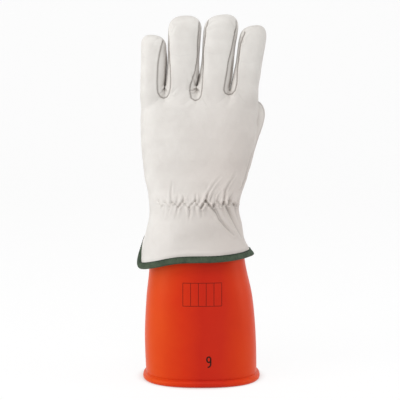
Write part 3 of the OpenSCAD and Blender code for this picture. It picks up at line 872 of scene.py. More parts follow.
# %% Folds of the fingers
FINGER_FOLDS = [
    # creases of the webs and the finger roots
    ([(-34.5, 292), (-36.5, 288.5), (-39.5, 285.5)], 1.2, 0.6, 1.0, 0.2),
    ([(-34.5, 292), (-32.6, 289), (-31.8, 286)], 0.8, 0.6, 1.0, 0.2),
    ([(-3.0, 292), (-6.5, 289.6), (-10.0, 289.2)], 1.5, 0.7, 1.0, 0.3),
    ([(-3.0, 292), (-1.2, 289.0), (0.0, 286)], 1.1, 0.6, 1.0, 0.2),
    ([(-6.8, 310), (-7.5, 304), (-5.0, 299), (-3.4, 294)], 1.4, 1.0, 0.0, 1.0),
    ([(-13.0, 303), (-11.0, 297), (-10.6, 291)], 0.9, 1.4, 0.0, 0.8),
    ([(-26.5, 288), (-23.5, 291), (-21.5, 295)], 0.7, 1.4, 0.8, 0.0),
    ([(-10.0, 281), (-15.0, 277), (-21.0, 275)], 0.7, 2.0, 0.8, 0.0),
    ([(3.0, 281), (6.0, 276), (9.0, 270)], 0.6, 2.0, 0.8, 0.0),
    ([(-41.0, 281), (-45.0, 277), (-50.0, 275)], 0.5, 2.0, 0.8, 0.0),
    ([(24.0, 283), (18.0, 278), (13.0, 276)], 0.5, 2.0, 0.8, 0.0),
    ([(38.0, 286), (42.0, 280), (47.0, 277)], 0.45, 2.0, 0.8, 0.0),
    # soft creases of the fingertips
    ([(7.5, 352), (12.0, 356.0), (19.0, 357.5)], 0.8, 1.2, 0.7, 0.0),
    ([(9.5, 348), (15.0, 350.5), (21.0, 350)], 0.4, 1.4, 0.6, 0.0),
    ([(42.5, 343), (47.5, 347.5), (53.0, 349.5)], 0.7, 1.1, 0.8, 0.0),
    ([(41.8, 336), (42.6, 341), (45.0, 344)], 0.8, 0.9, 0.8, 0.2),
    ([(-27.0, 346), (-24.5, 351.5), (-19.0, 354.5)], 0.6, 1.2, 0.7, 0.0),
    ([(-46.5, 331), (-44.0, 337), (-40.5, 340)], 0.5, 1.3, 0.3, 0.7),
    ([(29.5, 357), (33.0, 352), (34.0, 345)], 0.7, 1.0, 0.3, 0.8),
    ([(-55.0, 322), (-50.0, 320), (-46.0, 321)], 0.4, 1.8, 0.6, 0.0),
    ([(-28.0, 325), (-20.0, 322.5), (-10.0, 324)], 0.4, 2.0, 0.5, 0.3),
    ([(6.0, 327), (14.0, 324.5), (24.0, 326)], 0.4, 2.0, 0.5, 0.3),
    ([(40.0, 318), (48.0, 316), (57.0, 318)], 0.35, 2.0, 0.5, 0.3),
]
print("folds of the fingers:", len(FINGER_FOLDS))

# %% The zigzag and its gathers
ELASTIC_Z = 179.5
# The zigzag seam that holds the elastic, corner by corner (x, z)
ZIGZAG = [(-40.8, 182.6), (-37.5, 177.4), (-33.6, 182.2), (-29.6, 177.2), (-26.0, 182.0),
          (-20.6, 177.0), (-15.9, 182.6), (-10.7, 176.3), (-4.9, 183.0), (0.5, 176.2),
          (5.8, 183.1), (11.7, 176.2), (17.5, 182.3), (22.3, 176.2), (28.2, 182.3),
          (33.0, 177.0), (36.6, 181.4)]


def gathers():
    """Short folds that start at the corners of the zigzag and fan out."""
    random = np.random.default_rng(21)
    folds = []
    for k, (x, z) in enumerate(ZIGZAG):
        upward = 1 if k % 2 == 0 else -1
        strong = float(smooth_step(np.array([x]), -34, -6)[0])
        strong *= 1 - float(smooth_step(np.array([x]), 24, 36)[0])
        for _ in range(2):
            start = x + random.uniform(-1.8, 1.8)
            reach = random.uniform(8, 17) * (0.6 + 0.4 * strong)
            lean = math.radians((x + 6) * 0.8 + random.uniform(-9, 9))
            middle = (start + math.sin(lean) * reach * 0.5 + random.uniform(-0.6, 0.6),
                      z + upward * math.cos(lean) * reach * 0.5)
            end = (start + math.sin(lean) * reach * 1.1, z + upward * math.cos(lean) * reach)
            folds.append(([(start, z), middle, end], random.uniform(0.35, 0.7) + 0.55 * strong,
                          random.uniform(0.8, 1.3), 1.0, 0.0))
    return folds


print("short folds at the zigzag:", len(gathers()))


# %% Distance to a line
def line_distance(x, z, points):
    """Distance to a line of points, and how far along it, from 0 to 1."""
    best = np.full(len(x), 1e9)
    along = np.zeros(len(x))
    points = np.asarray(points, float)
    lengths = np.hypot(*np.diff(points, axis=0).T)
    total, done = lengths.sum(), 0.0
    for a, b, length in zip(points[:-1], points[1:], lengths):
        t = np.clip(((x - a[0]) * (b[0] - a[0]) + (z - a[1]) * (b[1] - a[1])) / length**2, 0, 1)
        d = np.hypot(x - a[0] - t * (b[0] - a[0]), z - a[1] - t * (b[1] - a[1]))
        nearer = d < best
        best = np.where(nearer, d, best)
        along = np.where(nearer, (done + t * length) / total, along)
        done += length
    return best, along


on_axis, _ = line_distance(np.array([0.0]), np.array([ELASTIC_Z]), ZIGZAG)
print("from the middle of the wrist to the zigzag:", round(float(on_axis[0]), 2), "mm")


# %% Folds and waves as moves
FOLD_REACH = 9.0


def fold_moves(p, folds):
    """Moves along the normal that folds make, a valley between two ridges, and their shade."""
    move = np.zeros(len(p))
    shade = np.zeros(len(p))
    for points, depth, width, first, last in folds:
        xs, zs = zip(*points)
        near = (p[:, 0] > min(xs) - FOLD_REACH) & (p[:, 0] < max(xs) + FOLD_REACH)
        near &= (p[:, 2] > min(zs) - FOLD_REACH) & (p[:, 2] < max(zs) + FOLD_REACH)
        d, along = line_distance(p[near, 0], p[near, 2], points)
        strength = depth * (first + (last - first) * along)
        valley = np.exp(-((d / width) ** 2))
        ridge = np.exp(-(((d - 2.2 * width) / (1.1 * width)) ** 2))
        move[near] += strength * (0.62 * ridge - 0.5 * valley)
        shade[near] = np.maximum(shade[near], strength * valley * np.exp(-((d / 0.6) ** 2)))
    return move, shade


def slow_waves(p, seed, size, height, count=14):
    """Gentle unevenness from waves in seeded directions. Sizes in mm."""
    random = np.random.default_rng(seed)
    total = np.zeros(len(p))
    for _ in range(count):
        direction = random.normal(size=3)
        direction /= np.linalg.norm(direction)
        wave = size * random.uniform(0.6, 1.6)
        total += np.sin(p @ direction * 2 * math.pi / wave + random.uniform(0, 6.28))
    return height * total / math.sqrt(count / 2)


print("deepest valley of the folds:", round(fold_moves(skin, WRIST_FOLDS)[0].min(), 2), "mm")


# %% Strips between the fingers
def strip_bounds(z):
    """For each of the three forks, the seams on its left and right at heights z."""
    bounds = []
    for left, right in STRIP_SEAMS:
        lx, lz = np.array(left)[::-1].T
        rx, rz = np.array(right).T
        inside = z > lz[0]
        bounds.append((np.interp(z, lz, lx), np.interp(z, rz, rx), inside))
    return bounds


def strip_of(p):
    """Number of the strip that a point lies on, or -1."""
    number = np.full(len(p), -1)
    for j, (left, right, inside) in enumerate(strip_bounds(p[:, 2])):
        top = STRIP_SEAMS[j][0][0][1] if j == 0 else 360
        hit = inside & (p[:, 0] > left) & (p[:, 0] < right) & (p[:, 2] < top)
        number[hit] = j
    return number


def seam_distance(p):
    """Distance to the nearest strip seam, seen from the back or the palm."""
    best = np.full(len(p), 99.0)
    high = p[:, 2] > 272
    for left, right in STRIP_SEAMS:
        d, _ = line_distance(p[high, 0], p[high, 2], left + right[1:])
        best[high] = np.minimum(best[high], d)
    return best


print("points on the strips:", int((strip_of(skin) >= 0).sum()), "of", len(skin))


# %% The hem's height
# Heights of the hem round the glove: angle, height. The vent stands on the little finger side
HEM = [
    (0, 126.2), (20, 125.2), (45, 123.0), (70, 120.5), (90, 119.3), (110, 118.2), (128, 116.8),
    (138, 117.0), (144, 119.0), (149, 123.6), (154, 129.6), (159, 134.8), (163, 137.5),
    (167, 138.5), (171, 138.0), (176, 135.6), (182, 131.8), (188, 128.2), (193, 125.0),
    (197, 121.0), (201, 117.6), (206, 116.2), (213, 116.5), (223, 117.8), (235, 119.9),
    (246, 122.3), (256, 124.1), (266, 125.0), (284, 125.3), (300, 125.9), (322, 126.7),
    (338, 127.0), (350, 126.7), (360, 126.2),
]


def oval_angle(p):
    """Angle of points round the hand, in degrees: 0 thumb side, 90 palm, 180, 270 back."""
    middle, half_w, half_d = curve_through(HAND_OVALS, p[:, 2]).T
    u, v = (p[:, 0] - middle) / half_w, p[:, 1] / half_d
    power = ROUNDNESS / 2
    return np.degrees(np.arctan2(np.sign(v) * np.abs(v) ** power,
                                 np.sign(u) * np.abs(u) ** power)) % 360


def hem_height(angle):
    """Height of the leather's lower edge, with the vent on the little finger side."""
    return curve_through(HEM, np.asarray(angle) % 360)[..., 0]


def over_hem(p):
    """How far points lie above the hem, in mm."""
    return p[:, 2] - hem_height(oval_angle(p))


def edge_stand(angle, hem, z):
    """How far the leather stands off near its edge: out at the vent, curled on the thumb side."""
    vent = np.exp(-(((angle - 187) / 15) ** 2)) * (1 - smooth_step(z, 119, 134))
    curl = np.exp(-(((angle + 6 + 180) % 360 - 180) / 17) ** 2)
    outward = 3.0 * (1 - smooth_step(hem, -2, 8)) - 2.2 * np.exp(-(((hem - 15) / 8) ** 2))
    return 1.9 * vent + curl * outward


hem_round = hem_height(np.arange(360))
print("hem from", round(hem_round.min(), 1), "to", round(hem_round.max(), 1), "mm high")


# %% Normals
def point_normals(p, quads):
    """Normals of the points of a quad mesh."""
    diagonal = np.cross(p[quads[:, 2]] - p[quads[:, 0]], p[quads[:, 3]] - p[quads[:, 1]])
    total = np.zeros_like(p)
    for axis in range(3):
        for corner in range(4):
            total[:, axis] += np.bincount(quads[:, corner], diagonal[:, axis], len(p))
    return total / np.maximum(np.linalg.norm(total, axis=1), 1e-9)[:, None]


normals = point_normals(skin, skin_quads)
print("points that face back:", int((normals[:, 1] < -0.5).sum()))

# %% Where seams and folds lie
SIDE_SEAM_Y = 1.0  # the seam between back and palm, on the outer sides and over the tips
ELASTIC_REACH = 12.0


def near_seams(p, normals):
    """Where points face, and how near they are to seams and folds."""
    x, z = p[:, 0], p[:, 2]
    strip = strip_of(p)
    seam = seam_distance(p)
    return SimpleNamespace(
        back=smooth_step(-normals[:, 1], 0.05, 0.5),
        palm=smooth_step(normals[:, 1], 0.2, 0.7),
        facing=smooth_step(np.abs(normals[:, 1]), 0.08, 0.4),
        strip=strip,
        outer=(strip < 0) & (np.abs(normals[:, 1]) < 0.75),
        seam=seam,
        edge=np.exp(-((seam / 0.62) ** 2)),
        groove=np.exp(-((np.abs(p[:, 1] - SIDE_SEAM_Y) / 0.7) ** 2)),
        zig=line_distance(x, z, ZIGZAG)[0],
        low=np.abs(z - ELASTIC_Z) < ELASTIC_REACH,
        sides=smooth_step(x, -44, -20) * (1 - smooth_step(x, 34, 41)),
        long_folds=fold_moves(p, WRIST_FOLDS + FINGER_FOLDS),
        short_folds=fold_moves(p, gathers()),
        palm_folds=fold_moves(p, PALM_FOLDS),
    )


at = near_seams(skin, normals)
print("points in a seam:", int((at.edge > 0.5).sum()))

# %% The leather's moves
SEAM_PUCKER_MM = 3.1  # one stitch of a seam and the swelling beside it
DEEPEST_CREASE = 1.2


def leather_moves(p, at):
    """How far each point of the leather moves out, in mm."""
    x, z = p[:, 0], p[:, 2]
    free = np.where((at.strip >= 0) | (z > 300), at.facing, 1.0)
    move = free * (slow_waves(p, 5, 34, 0.30) + slow_waves(p, 11, 13, 0.10))
    creased = at.long_folds[0] + at.short_folds[0]
    softer = DEEPEST_CREASE * np.tanh(creased / DEEPEST_CREASE)
    move += at.back * np.where(creased < 0, softer, creased)
    move += at.palm * at.palm_folds[0]

    # the leather is held down along the zigzag and swells between its legs
    off = np.maximum(np.abs(z - ELASTIC_Z) - 3, 0)
    swell = np.exp(-((off / 6.5) ** 2)) * (0.35 + 0.65 * at.sides)
    held = np.exp(-((at.zig / 1.0) ** 2))
    sewn = at.back * (0.9 * swell * (1 - held) - 0.25 * held * swell)
    move += np.where(at.low, sewn, at.back * swell)

    # the edge swells a little over the tape
    hem = np.where(z < 160, over_hem(p), 99.0)
    move += 0.35 * np.exp(-(((hem - 8.3) / 1.6) ** 2)) + edge_stand(oval_angle(p), hem, z)
    move += 1.9 * np.exp(-(((x + 25) / 14) ** 2) - ((z - 152) / 19) ** 2) * at.back

    # seams sink in, and the leather beside them rises
    pucker = 1 + 0.35 * np.sin(z * 2 * math.pi / SEAM_PUCKER_MM)
    move -= 0.65 * at.edge * pucker * at.facing
    ridge = np.exp(-(((at.seam - 1.5) / 0.9) ** 2))
    move += np.where(at.strip < 0, 0.4, 0.0) * ridge * at.facing
    sunken = 0.25 * smooth_step(at.seam, 0.2, 1.6) * at.facing
    move -= np.where(at.strip >= 0, sunken, 0.0)
    move -= np.where(at.outer, 0.5 * at.groove * pucker, 0.0)

    # the rubber lies close under the leather, so no fold may go deeper than this
    deepest = -2.1 + 0.95 * smooth_step(z, 146, 160)
    return np.where(z < 250, np.maximum(move, deepest), move)


moves = leather_moves(skin, at)
print("leather skin:", len(skin), "points; moves from", round(moves.min(), 2), "to",
      round(moves.max(), 2), "mm")


# %% The leather's shade
def leather_shade(p, at):
    """How dark each point of the leather is painted, from 0 to 1: seam lines, and painted shade in
    folds, grooves, slits and on the gauntlet.
    """
    x, z = p[:, 0], p[:, 2]
    # dark seam lines: partly the seams' own colour, partly painted shade in their grooves
    dark = np.clip(0.95 * at.edge * at.facing, 0, 1) + np.where(at.outer, 0.4 * at.groove, 0)
    # painted shade in the valleys of the folds and along the zigzag
    long_shade, short_shade = at.long_folds[1], at.short_folds[1]
    dark += at.back * (0.32 * np.minimum(long_shade, 1.5) + 0.17 * np.minimum(short_shade, 1))
    dark += at.back * at.sides * np.where(at.low, 0.06 * np.exp(-((at.zig / 0.5) ** 2)), 0)
    # painted shade: the strips turn dark where they face another finger, and darkest in the slits
    wall = (1 - at.facing) * (1 - smooth_step(z, 316, 350)) * smooth_step(z, 286, 292)
    dark += np.where(at.strip >= 0, 0.12 * wall, 0)
    for slit in SLITS:
        off, along = line_distance(x, z, slit)
        deep = 0.85 * smooth_step(along, 0, 0.4)
        dark += np.where((z > 286) & (p[:, 1] < 2), deep * np.exp(-((off / 0.75) ** 2)), 0)
    # painted shade in the palm's folds
    dark += 0.12 * at.palm * at.palm_folds[1]
    # painted shade on the gauntlet and beside the thumb
    dark += at.back * 0.14 * np.exp(-(((x - 6) / 19) ** 2) - ((z - 153) / 15) ** 2)
    dark += at.back * 0.08 * smooth_step(x, 18, 40) * smooth_step(z, 196, 225)
    return np.clip(dark, 0, 1)


seams_and_painted_shade = leather_shade(skin, at)
skin = skin + normals * moves[:, None]
print("points in full shade:", int((seams_and_painted_shade > 0.9).sum()))

# %% [markdown]
# ## Cutting the skin into panels
#
# The real protector is sewn from a back, a palm, two pieces for each finger and narrow strips
# between the fingers. The skin is cut along the same lines. Each panel gets a second, inner face
# and a closed edge, so it is a real sheet of leather. Its normals come from the whole skin, so no
# false line shows where two panels meet.

# %% The cut along the hem
HEM_HIGHEST = 152.0


def cut_at_hem(p, quads):
    """Drops quads below the hem and moves the new edge exactly onto it."""
    kept = quads[over_hem(p)[quads].mean(axis=1) > 0]
    edges, of_quad = edges_of(kept)
    uses = np.bincount(of_quad.ravel(), minlength=len(edges))
    rim = np.unique(edges[uses == 1])
    rim = rim[(np.abs(over_hem(p[rim])) < 8) & (p[rim, 2] < HEM_HIGHEST)]
    p = p.copy()
    p[rim] = pull_onto(over_hem, p[rim], 3, 0.6)
    low = (p[:, 2] < HEM_HIGHEST) & (over_hem(p) < 0)
    p[low, 2] -= over_hem(p[low])
    return p, kept


skin, skin_quads = cut_at_hem(skin, skin_quads)
skin_normals = point_normals(skin, skin_quads)
print("quads above the hem:", len(skin_quads))


# %% A mesh from quads
def rows_to_mesh(name, p, faces, normals, material_of_face, materials, dark=None):
    """A mesh object from quads, with a normal for each corner. Points in mm."""
    mesh = bpy.data.meshes.new(name)
    mesh.vertices.add(len(p))
    mesh.vertices.foreach_set("co", ((p - SHIFT) / 1000).astype(np.float32).ravel())
    mesh.loops.add(faces.size)
    mesh.loops.foreach_set("vertex_index", faces.astype(np.int32).ravel())
    mesh.polygons.add(len(faces))
    mesh.polygons.foreach_set("loop_start", np.arange(0, faces.size, 4, dtype=np.int32))
    mesh.polygons.foreach_set("material_index", material_of_face.astype(np.int32))
    mesh.polygons.foreach_set("use_smooth", np.ones(len(faces), bool))
    mesh.update(calc_edges=True)
    for material in materials:
        mesh.materials.append(material)
    if dark is not None:
        layer = mesh.attributes.new("seams_and_painted_shade", "FLOAT", "POINT")
        layer.data.foreach_set("value", dark.astype(np.float32))
    if normals is not None:
        mesh.normals_split_custom_set(normals.reshape(-1, 3).astype(np.float32))
    thing = bpy.data.objects.new(name, mesh)
    scene.collection.objects.link(thing)
    return thing


print("leather to be cut:", len(skin_quads), "quads")


# %% A thick panel
SMOOTH_ROUNDS = 5


def thick_panel(name, p, normals, quads, thickness, materials, dark=None):
    """A closed sheet from quads of a skin: outer face, inner face and the edge between."""
    used, local = np.unique(quads, return_inverse=True)
    quads = local.reshape(-1, 4)
    p, n = p[used], normals[used]
    count = len(p)
    # the inner face follows smoother normals, so that it can't fold over in a tight fork
    inward = n
    for _ in range(SMOOTH_ROUNDS):
        of_face = inward[quads].mean(axis=1)
        total = np.zeros_like(p)
        for corner in range(4):
            np.add.at(total, quads[:, corner], of_face)
        inward = total / np.maximum(np.linalg.norm(total, axis=1), 1e-9)[:, None]
    inner_p = p - inward * thickness
    edges, of_quad = edges_of(quads)
    uses = np.bincount(of_quad.ravel(), minlength=len(edges))
    start = quads.ravel()
    end = np.roll(quads, -1, axis=1).ravel()
    open_side = uses[of_quad.ravel()] == 1
    a, b = start[open_side], end[open_side]
    rim = np.stack([b, a, a + count, b + count], axis=1)
    inner = quads[:, ::-1] + count
    points = np.concatenate([p, inner_p])
    faces = np.concatenate([quads, inner, rim])
    rim_normal = np.cross(points[rim[:, 2]] - points[rim[:, 0]],
                          points[rim[:, 3]] - points[rim[:, 1]])
    rim_normal /= np.maximum(np.linalg.norm(rim_normal, axis=1), 1e-9)[:, None]
    corner_normals = np.concatenate([
        n[quads], -n[inner - count], np.repeat(rim_normal[:, None], 4, axis=1)])
    kind = np.concatenate([np.zeros(len(quads)), np.ones(len(inner)), np.zeros(len(rim))])
    both = None if dark is None else np.concatenate([dark[used], dark[used] * 0])
    return rows_to_mesh(name, points, faces, corner_normals, kind, materials, both)


print("leather panels are", LEATHER_T, "mm thick")

# %% Knuckles and the thumb's axis
BEND_CUT_Z = 288.0
THUMB_ROOT = np.array([29.0, 21.5667, 213.0])
THUMB_TURN = math.radians(20)
THUMB_AXIS = np.array([math.sin(THUMB_TURN), math.cos(THUMB_TURN), 0.0])
ROOT_R = 14.0


def off_thumb_axis(p):
    """Distance of points from the axis on which the thumb swings."""
    rel = p - THUMB_ROOT
    return np.linalg.norm(rel - (rel @ THUMB_AXIS)[:, None] * THUMB_AXIS, axis=1)


def frame_point(x, y, z):
    """A point in the frame, in metres."""
    return tuple((np.array([x, y, z]) - SHIFT) / 1000)


def bend_with_finger(piece):
    """Bakes a finger's piece in place, and puts it on no body."""
    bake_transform(piece)


print("thumb's root in the frame:", [round(v, 4) for v in frame_point(*THUMB_ROOT)])

# %% Panels of the protector
centre = flat_skin[skin_quads].mean(axis=1)
quad_owner = skin_owner[skin_quads[:, 0]]
quad_strip = strip_of(centre)
is_finger = centre[:, 2] > BEND_CUT_Z
is_palm = centre[:, 1] > SIDE_SEAM_Y
hole = is_palm & (off_thumb_axis(centre) < ROOT_R - 1.2) & (centre[:, 2] < 240)

panels = {}


def add_panel(name, mask, body, nodes, finger=None):
    """One panel of the leather, on a body of its own, or for a finger baked in place on no body.
    """
    piece = thick_panel(name, skin, skin_normals, skin_quads[mask], LEATHER_T,
                        [leather, flesh_side], seams_and_painted_shade)
    if finger is None:
        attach(piece, body)
    else:
        bend_with_finger(piece)
    if nodes:
        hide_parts(*nodes)
    panels[name] = piece


add_panel("leather_back", ~is_finger & ~is_palm & (quad_strip < 0), "protector", ["back_panel"])
add_panel("leather_palm", ~is_finger & is_palm & (quad_strip < 0) & ~hole, "protector",
          ["palm_panel"])
for j, name in enumerate(["little_ring_web", "ring_middle_web", "middle_index_web"]):
    add_panel(name, ~is_finger & (quad_strip == j), "protector", [])
STRIPS_OF = {
    "little": {0: "little_strip"},
    "ring": {0: "ring_outer_strip", 1: "ring_inner_strip"},
    "middle": {1: "middle_outer_strip", 2: "middle_inner_strip"},
    "index": {2: "index_strip"},
}
for f, finger in enumerate(FINGERS):
    own = is_finger & (quad_owner == f)
    body = f"leather_{finger}_finger"
    plain = own & (quad_strip < 0)
    add_panel(f"{finger}_leather_back", plain & ~is_palm, body, [f"{finger}_back"], finger)
    add_panel(f"{finger}_leather_palm", plain & is_palm, body, [f"{finger}_palm"], finger)
    for j, node in STRIPS_OF[finger].items():
        add_panel(f"{node}_leather", own & (quad_strip == j), body, [node], finger)
print("panels:", {name: len(piece.data.polygons) for name, piece in panels.items()})

# %% [markdown]
# ## The thumb
#
# The thumb lies folded against the palm. It is a pouch of two halves with a short round root,
# and the root sits in a round hole of the palm, on the axis that the thumb swings about. Because
# root and hole are round about that axis, the thumb can swing without tearing the palm.

# %% The thumb's place
THUMB_LENGTH = 54.0
THUMB_HALF_W = 17.5
THUMB_HALF_D = 14.5
THUMB_LIFT = LEATHER_T + THUMB_HALF_D
THUMB_LEAN = math.radians(18)
THUMB_TIP_LEAN = math.radians(2.5)


def turn_about(axis, angle):
    """A rotation matrix, right-handed."""
    x, y, z = axis
    c, s = math.cos(angle), math.sin(angle)
    return np.array([
        [c + x * x * (1 - c), x * y * (1 - c) - z * s, x * z * (1 - c) + y * s],
        [y * x * (1 - c) + z * s, c + y * y * (1 - c), y * z * (1 - c) - x * s],
        [z * x * (1 - c) - y * s, z * y * (1 - c) + x * s, c + z * z * (1 - c)]])


ROOT_TURN = turn_about((0, 0, 1), -THUMB_TURN)
POD_TURN = ROOT_TURN @ turn_about((0, 1, 0), THUMB_LEAN) @ turn_about((1, 0, 0), THUMB_TIP_LEAN)
POD_ORIGIN = THUMB_ROOT + ROOT_TURN @ np.array([0, THUMB_LIFT, 0])


def into_pod(p):
    """Points in the thumb's own frame: z along the thumb, y away from the palm."""
    return (p - POD_ORIGIN) @ POD_TURN


print("the thumb's pouch starts at", POD_ORIGIN.round(1), "mm")

# %% The thumb's field
THUMB_OVALS = [(-6, 0.0, 16.6, 14.0), (10, -0.4, 17.3, 14.5), (30, -0.2, 17.2, 14.4),
               (46, 0.4, 17.0, 13.6), (56, 0.6, 16.4, 12.6)]
THUMB_END_R = THUMB_HALF_W * 0.95
ROOT_BACK = -5.0


def thumb_field(p, inset=0.0):
    """The field of the thumb's pouch, joined softly to its round root."""
    q = into_pod(p)
    middle, half_w, half_d = curve_through(THUMB_OVALS, np.clip(q[:, 2], -6, 56)).T
    low = np.clip(-q[:, 2] / (THUMB_END_R - inset), 0, None)
    high = np.clip((q[:, 2] - THUMB_LENGTH) / (THUMB_END_R - inset), 0, None)
    pod = oval_field(q, middle, half_w - inset, half_d - inset, low + high, 2.3)
    rel = p - THUMB_ROOT
    along = rel @ THUMB_AXIS
    root = off_thumb_axis(p) - (ROOT_R - inset)
    root = np.maximum(root, np.maximum(ROOT_BACK + inset - along, along - THUMB_LIFT))
    soft = 3.0
    lowest = np.minimum(pod, root)
    mix = np.exp(-(pod - lowest) / soft) + np.exp(-(root - lowest) / soft)
    return lowest - soft * np.log(mix) * smooth_step(along, -1, 3)


print("field at the thumb's root:", round(float(thumb_field(THUMB_ROOT[None, :])[0]), 1), "mm")


# %% The skin of the thumb
def thumb_skin(inset, voxel_mm):
    """The thumb's closed skin on its field."""
    rings = []
    dome = THUMB_HALF_W * 0.9
    for z in np.concatenate([-dome * np.cos(np.linspace(0.3, 1.5, 6)),
                             np.linspace(4, 52, 9),
                             THUMB_LENGTH + dome * np.sin(np.linspace(0, 1.3, 6))]):
        over = max(-z, z - THUMB_LENGTH, 0) / THUMB_END_R
        shrink = math.sqrt(max(1 - over**2, 0.02))
        ring = oval_ring(z, 0, (THUMB_HALF_W - inset) * shrink, (THUMB_HALF_D - inset) * shrink)
        rings.append(ring @ POD_TURN.T + POD_ORIGIN)
    root = []
    turn = np.arange(40) * 2 * math.pi / 40
    r = ROOT_R - inset
    for along in np.linspace(ROOT_BACK + inset, THUMB_LIFT, 12):
        ring = np.stack([r * np.cos(turn), np.full(40, along), -r * np.sin(turn)], axis=1)
        root.append(ring @ ROOT_TURN.T + THUMB_ROOT)
    p, quads = remeshed([loft(rings), loft(root)], voxel_mm)
    edges, _ = edges_of(quads)
    p = relaxed(p, edges, 4)
    for _ in range(3):
        p = pull_onto(lambda q: thumb_field(q, inset), p, 4)
        p = relaxed(p, edges, 1, 0.4)
    p = pull_onto(lambda q: thumb_field(q, inset), p, 6)
    p, quads = split_quads(p, quads)
    return pull_onto(lambda q: thumb_field(q, inset), p, 4), quads


thumb, thumb_quads = thumb_skin(0.0, 1.85)
print("thumb:", len(thumb), "points")

# %% Leather of the thumb
THUMB_FOLDS = [
    ([(-15, 40), (-9, 46), (-2, 48)], 0.5, 1.4, 0.7, 0.0),
    ([(15, 36), (9, 42), (3, 44)], 0.5, 1.4, 0.7, 0.0),
    ([(-12, 12), (-4, 9), (5, 10), (12, 14)], 0.6, 1.8, 0.5, 0.5),
    ([(-9, 20), (-2, 18), (8, 21)], 0.4, 1.6, 0.5, 0.3),
]
thumb_n = point_normals(thumb, thumb_quads)
pod = into_pod(thumb)
along_axis = (thumb - THUMB_ROOT) @ THUMB_AXIS
free = smooth_step(along_axis, 2, 6)
side = np.exp(-((pod[:, 1] / 0.8) ** 2)) * (np.abs((thumb_n @ POD_TURN)[:, 1]) < 0.8)
thumb_move = slow_waves(thumb, 7, 24, 0.25) + free * fold_moves(pod, THUMB_FOLDS)[0]
thumb_move -= free * 0.6 * side * (
    1 + 0.3 * np.sin(pod[:, 2] * 2 * math.pi / SEAM_PUCKER_MM))
thumb = thumb + thumb_n * thumb_move[:, None]
thumb_n = point_normals(thumb, thumb_quads)
# the thumb's side seam turns dark: partly the seam's own colour, partly painted shade in its
# groove
thumb_dark = np.clip(0.6 * side * free, 0, 1)
middle_of = pod[thumb_quads].mean(axis=1)
outer_half = middle_of[:, 1] > 0
for name, node, mask in (("thumb_leather_outer", "thumb_outer", outer_half),
                         ("thumb_leather_inner", "thumb_inner", ~outer_half)):
    piece = thick_panel(name, thumb, thumb_n, thumb_quads[mask], LEATHER_T,
                        [leather, flesh_side], thumb_dark)
    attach(piece, "leather_thumb")
    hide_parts(node)
    print(name, "has", int(mask.sum()), "outer quads")

# %% [markdown]
# ## The bound hem
#
# A green tape is folded over the raw edge of the leather. It follows the hem all the way round,
# up into the vent and down again. Its section is a soft U, and it stands square to the edge, as
# a tape does that is fed through a binder.

# %% The path of the hem
def hem_points(count):
    """Points of the hem's edge on the leather's outside, evenly spaced along it."""
    angle = np.linspace(0, 360, 2881)[:-1]
    z = hem_height(angle)
    middle, half_w, half_d = curve_through(HAND_OVALS, z).T
    turn = np.radians(angle)
    cos, sin = np.cos(turn), np.sin(turn)
    p = np.stack([middle + half_w * np.sign(cos) * np.abs(cos) ** 0.8,
                  half_d * np.sign(sin) * np.abs(sin) ** 0.8, z], axis=1)
    closed = np.concatenate([p, p[:1]])
    far = np.concatenate([[0], np.cumsum(np.linalg.norm(np.diff(closed, axis=0), axis=1))])
    even = np.linspace(0, far[-1], count + 1)[:-1]
    p = np.stack([np.interp(even, far, closed[:, i]) for i in range(3)], axis=1)
    for _ in range(12):
        p = 0.5 * p + 0.25 * (np.roll(p, 1, axis=0) + np.roll(p, -1, axis=0))
    return p, far[-1]


def out_of_oval(p):
    """Directions square to the glove's surface, from the slope of the palm's field."""
    step = 0.05
    slope = np.stack([palm_field(p + step * np.eye(3)[i]) - palm_field(p) for i in range(3)], 1)
    return slope / np.linalg.norm(slope, axis=1)[:, None]


edge, edge_length = hem_points(640)
tangent = np.roll(edge, -1, axis=0) - np.roll(edge, 1, axis=0)
tangent /= np.linalg.norm(tangent, axis=1)[:, None]
out = out_of_oval(edge)
out -= (out * tangent).sum(axis=1)[:, None] * tangent
out /= np.linalg.norm(out, axis=1)[:, None]
up = np.cross(out, tangent)
up *= np.sign(up[:, 2].mean())
print("the hem is", round(edge_length), "mm long")


# %% A closed tube
def ring_mesh(name, rings, materials, body):
    """A closed tube whose cross-sections are rings of points along a closed path."""
    rings = np.asarray(rings)
    rows, columns = rings.shape[:2]
    r, c = np.meshgrid(np.arange(rows), np.arange(columns), indexing="ij")
    at = lambda i, j: (i % rows) * columns + j % columns
    faces = np.stack([at(r, c), at(r, c + 1), at(r + 1, c + 1), at(r + 1, c)], axis=-1)
    faces = faces.reshape(-1, 4)
    piece = rows_to_mesh(name, rings.reshape(-1, 3), faces, None, np.zeros(len(faces)), materials)
    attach(piece, body)
    return piece


print("the tape's tube will have", len(edge), "rings")

# %% The binding
BINDING_H = 6.5
BINDING_T = 0.8
BINDING_TOP = BINDING_H - 1.2
BINDING_FOLD = 0.6
half = LEATHER_T / 2
tape_face = half + 0.25 + BINDING_T

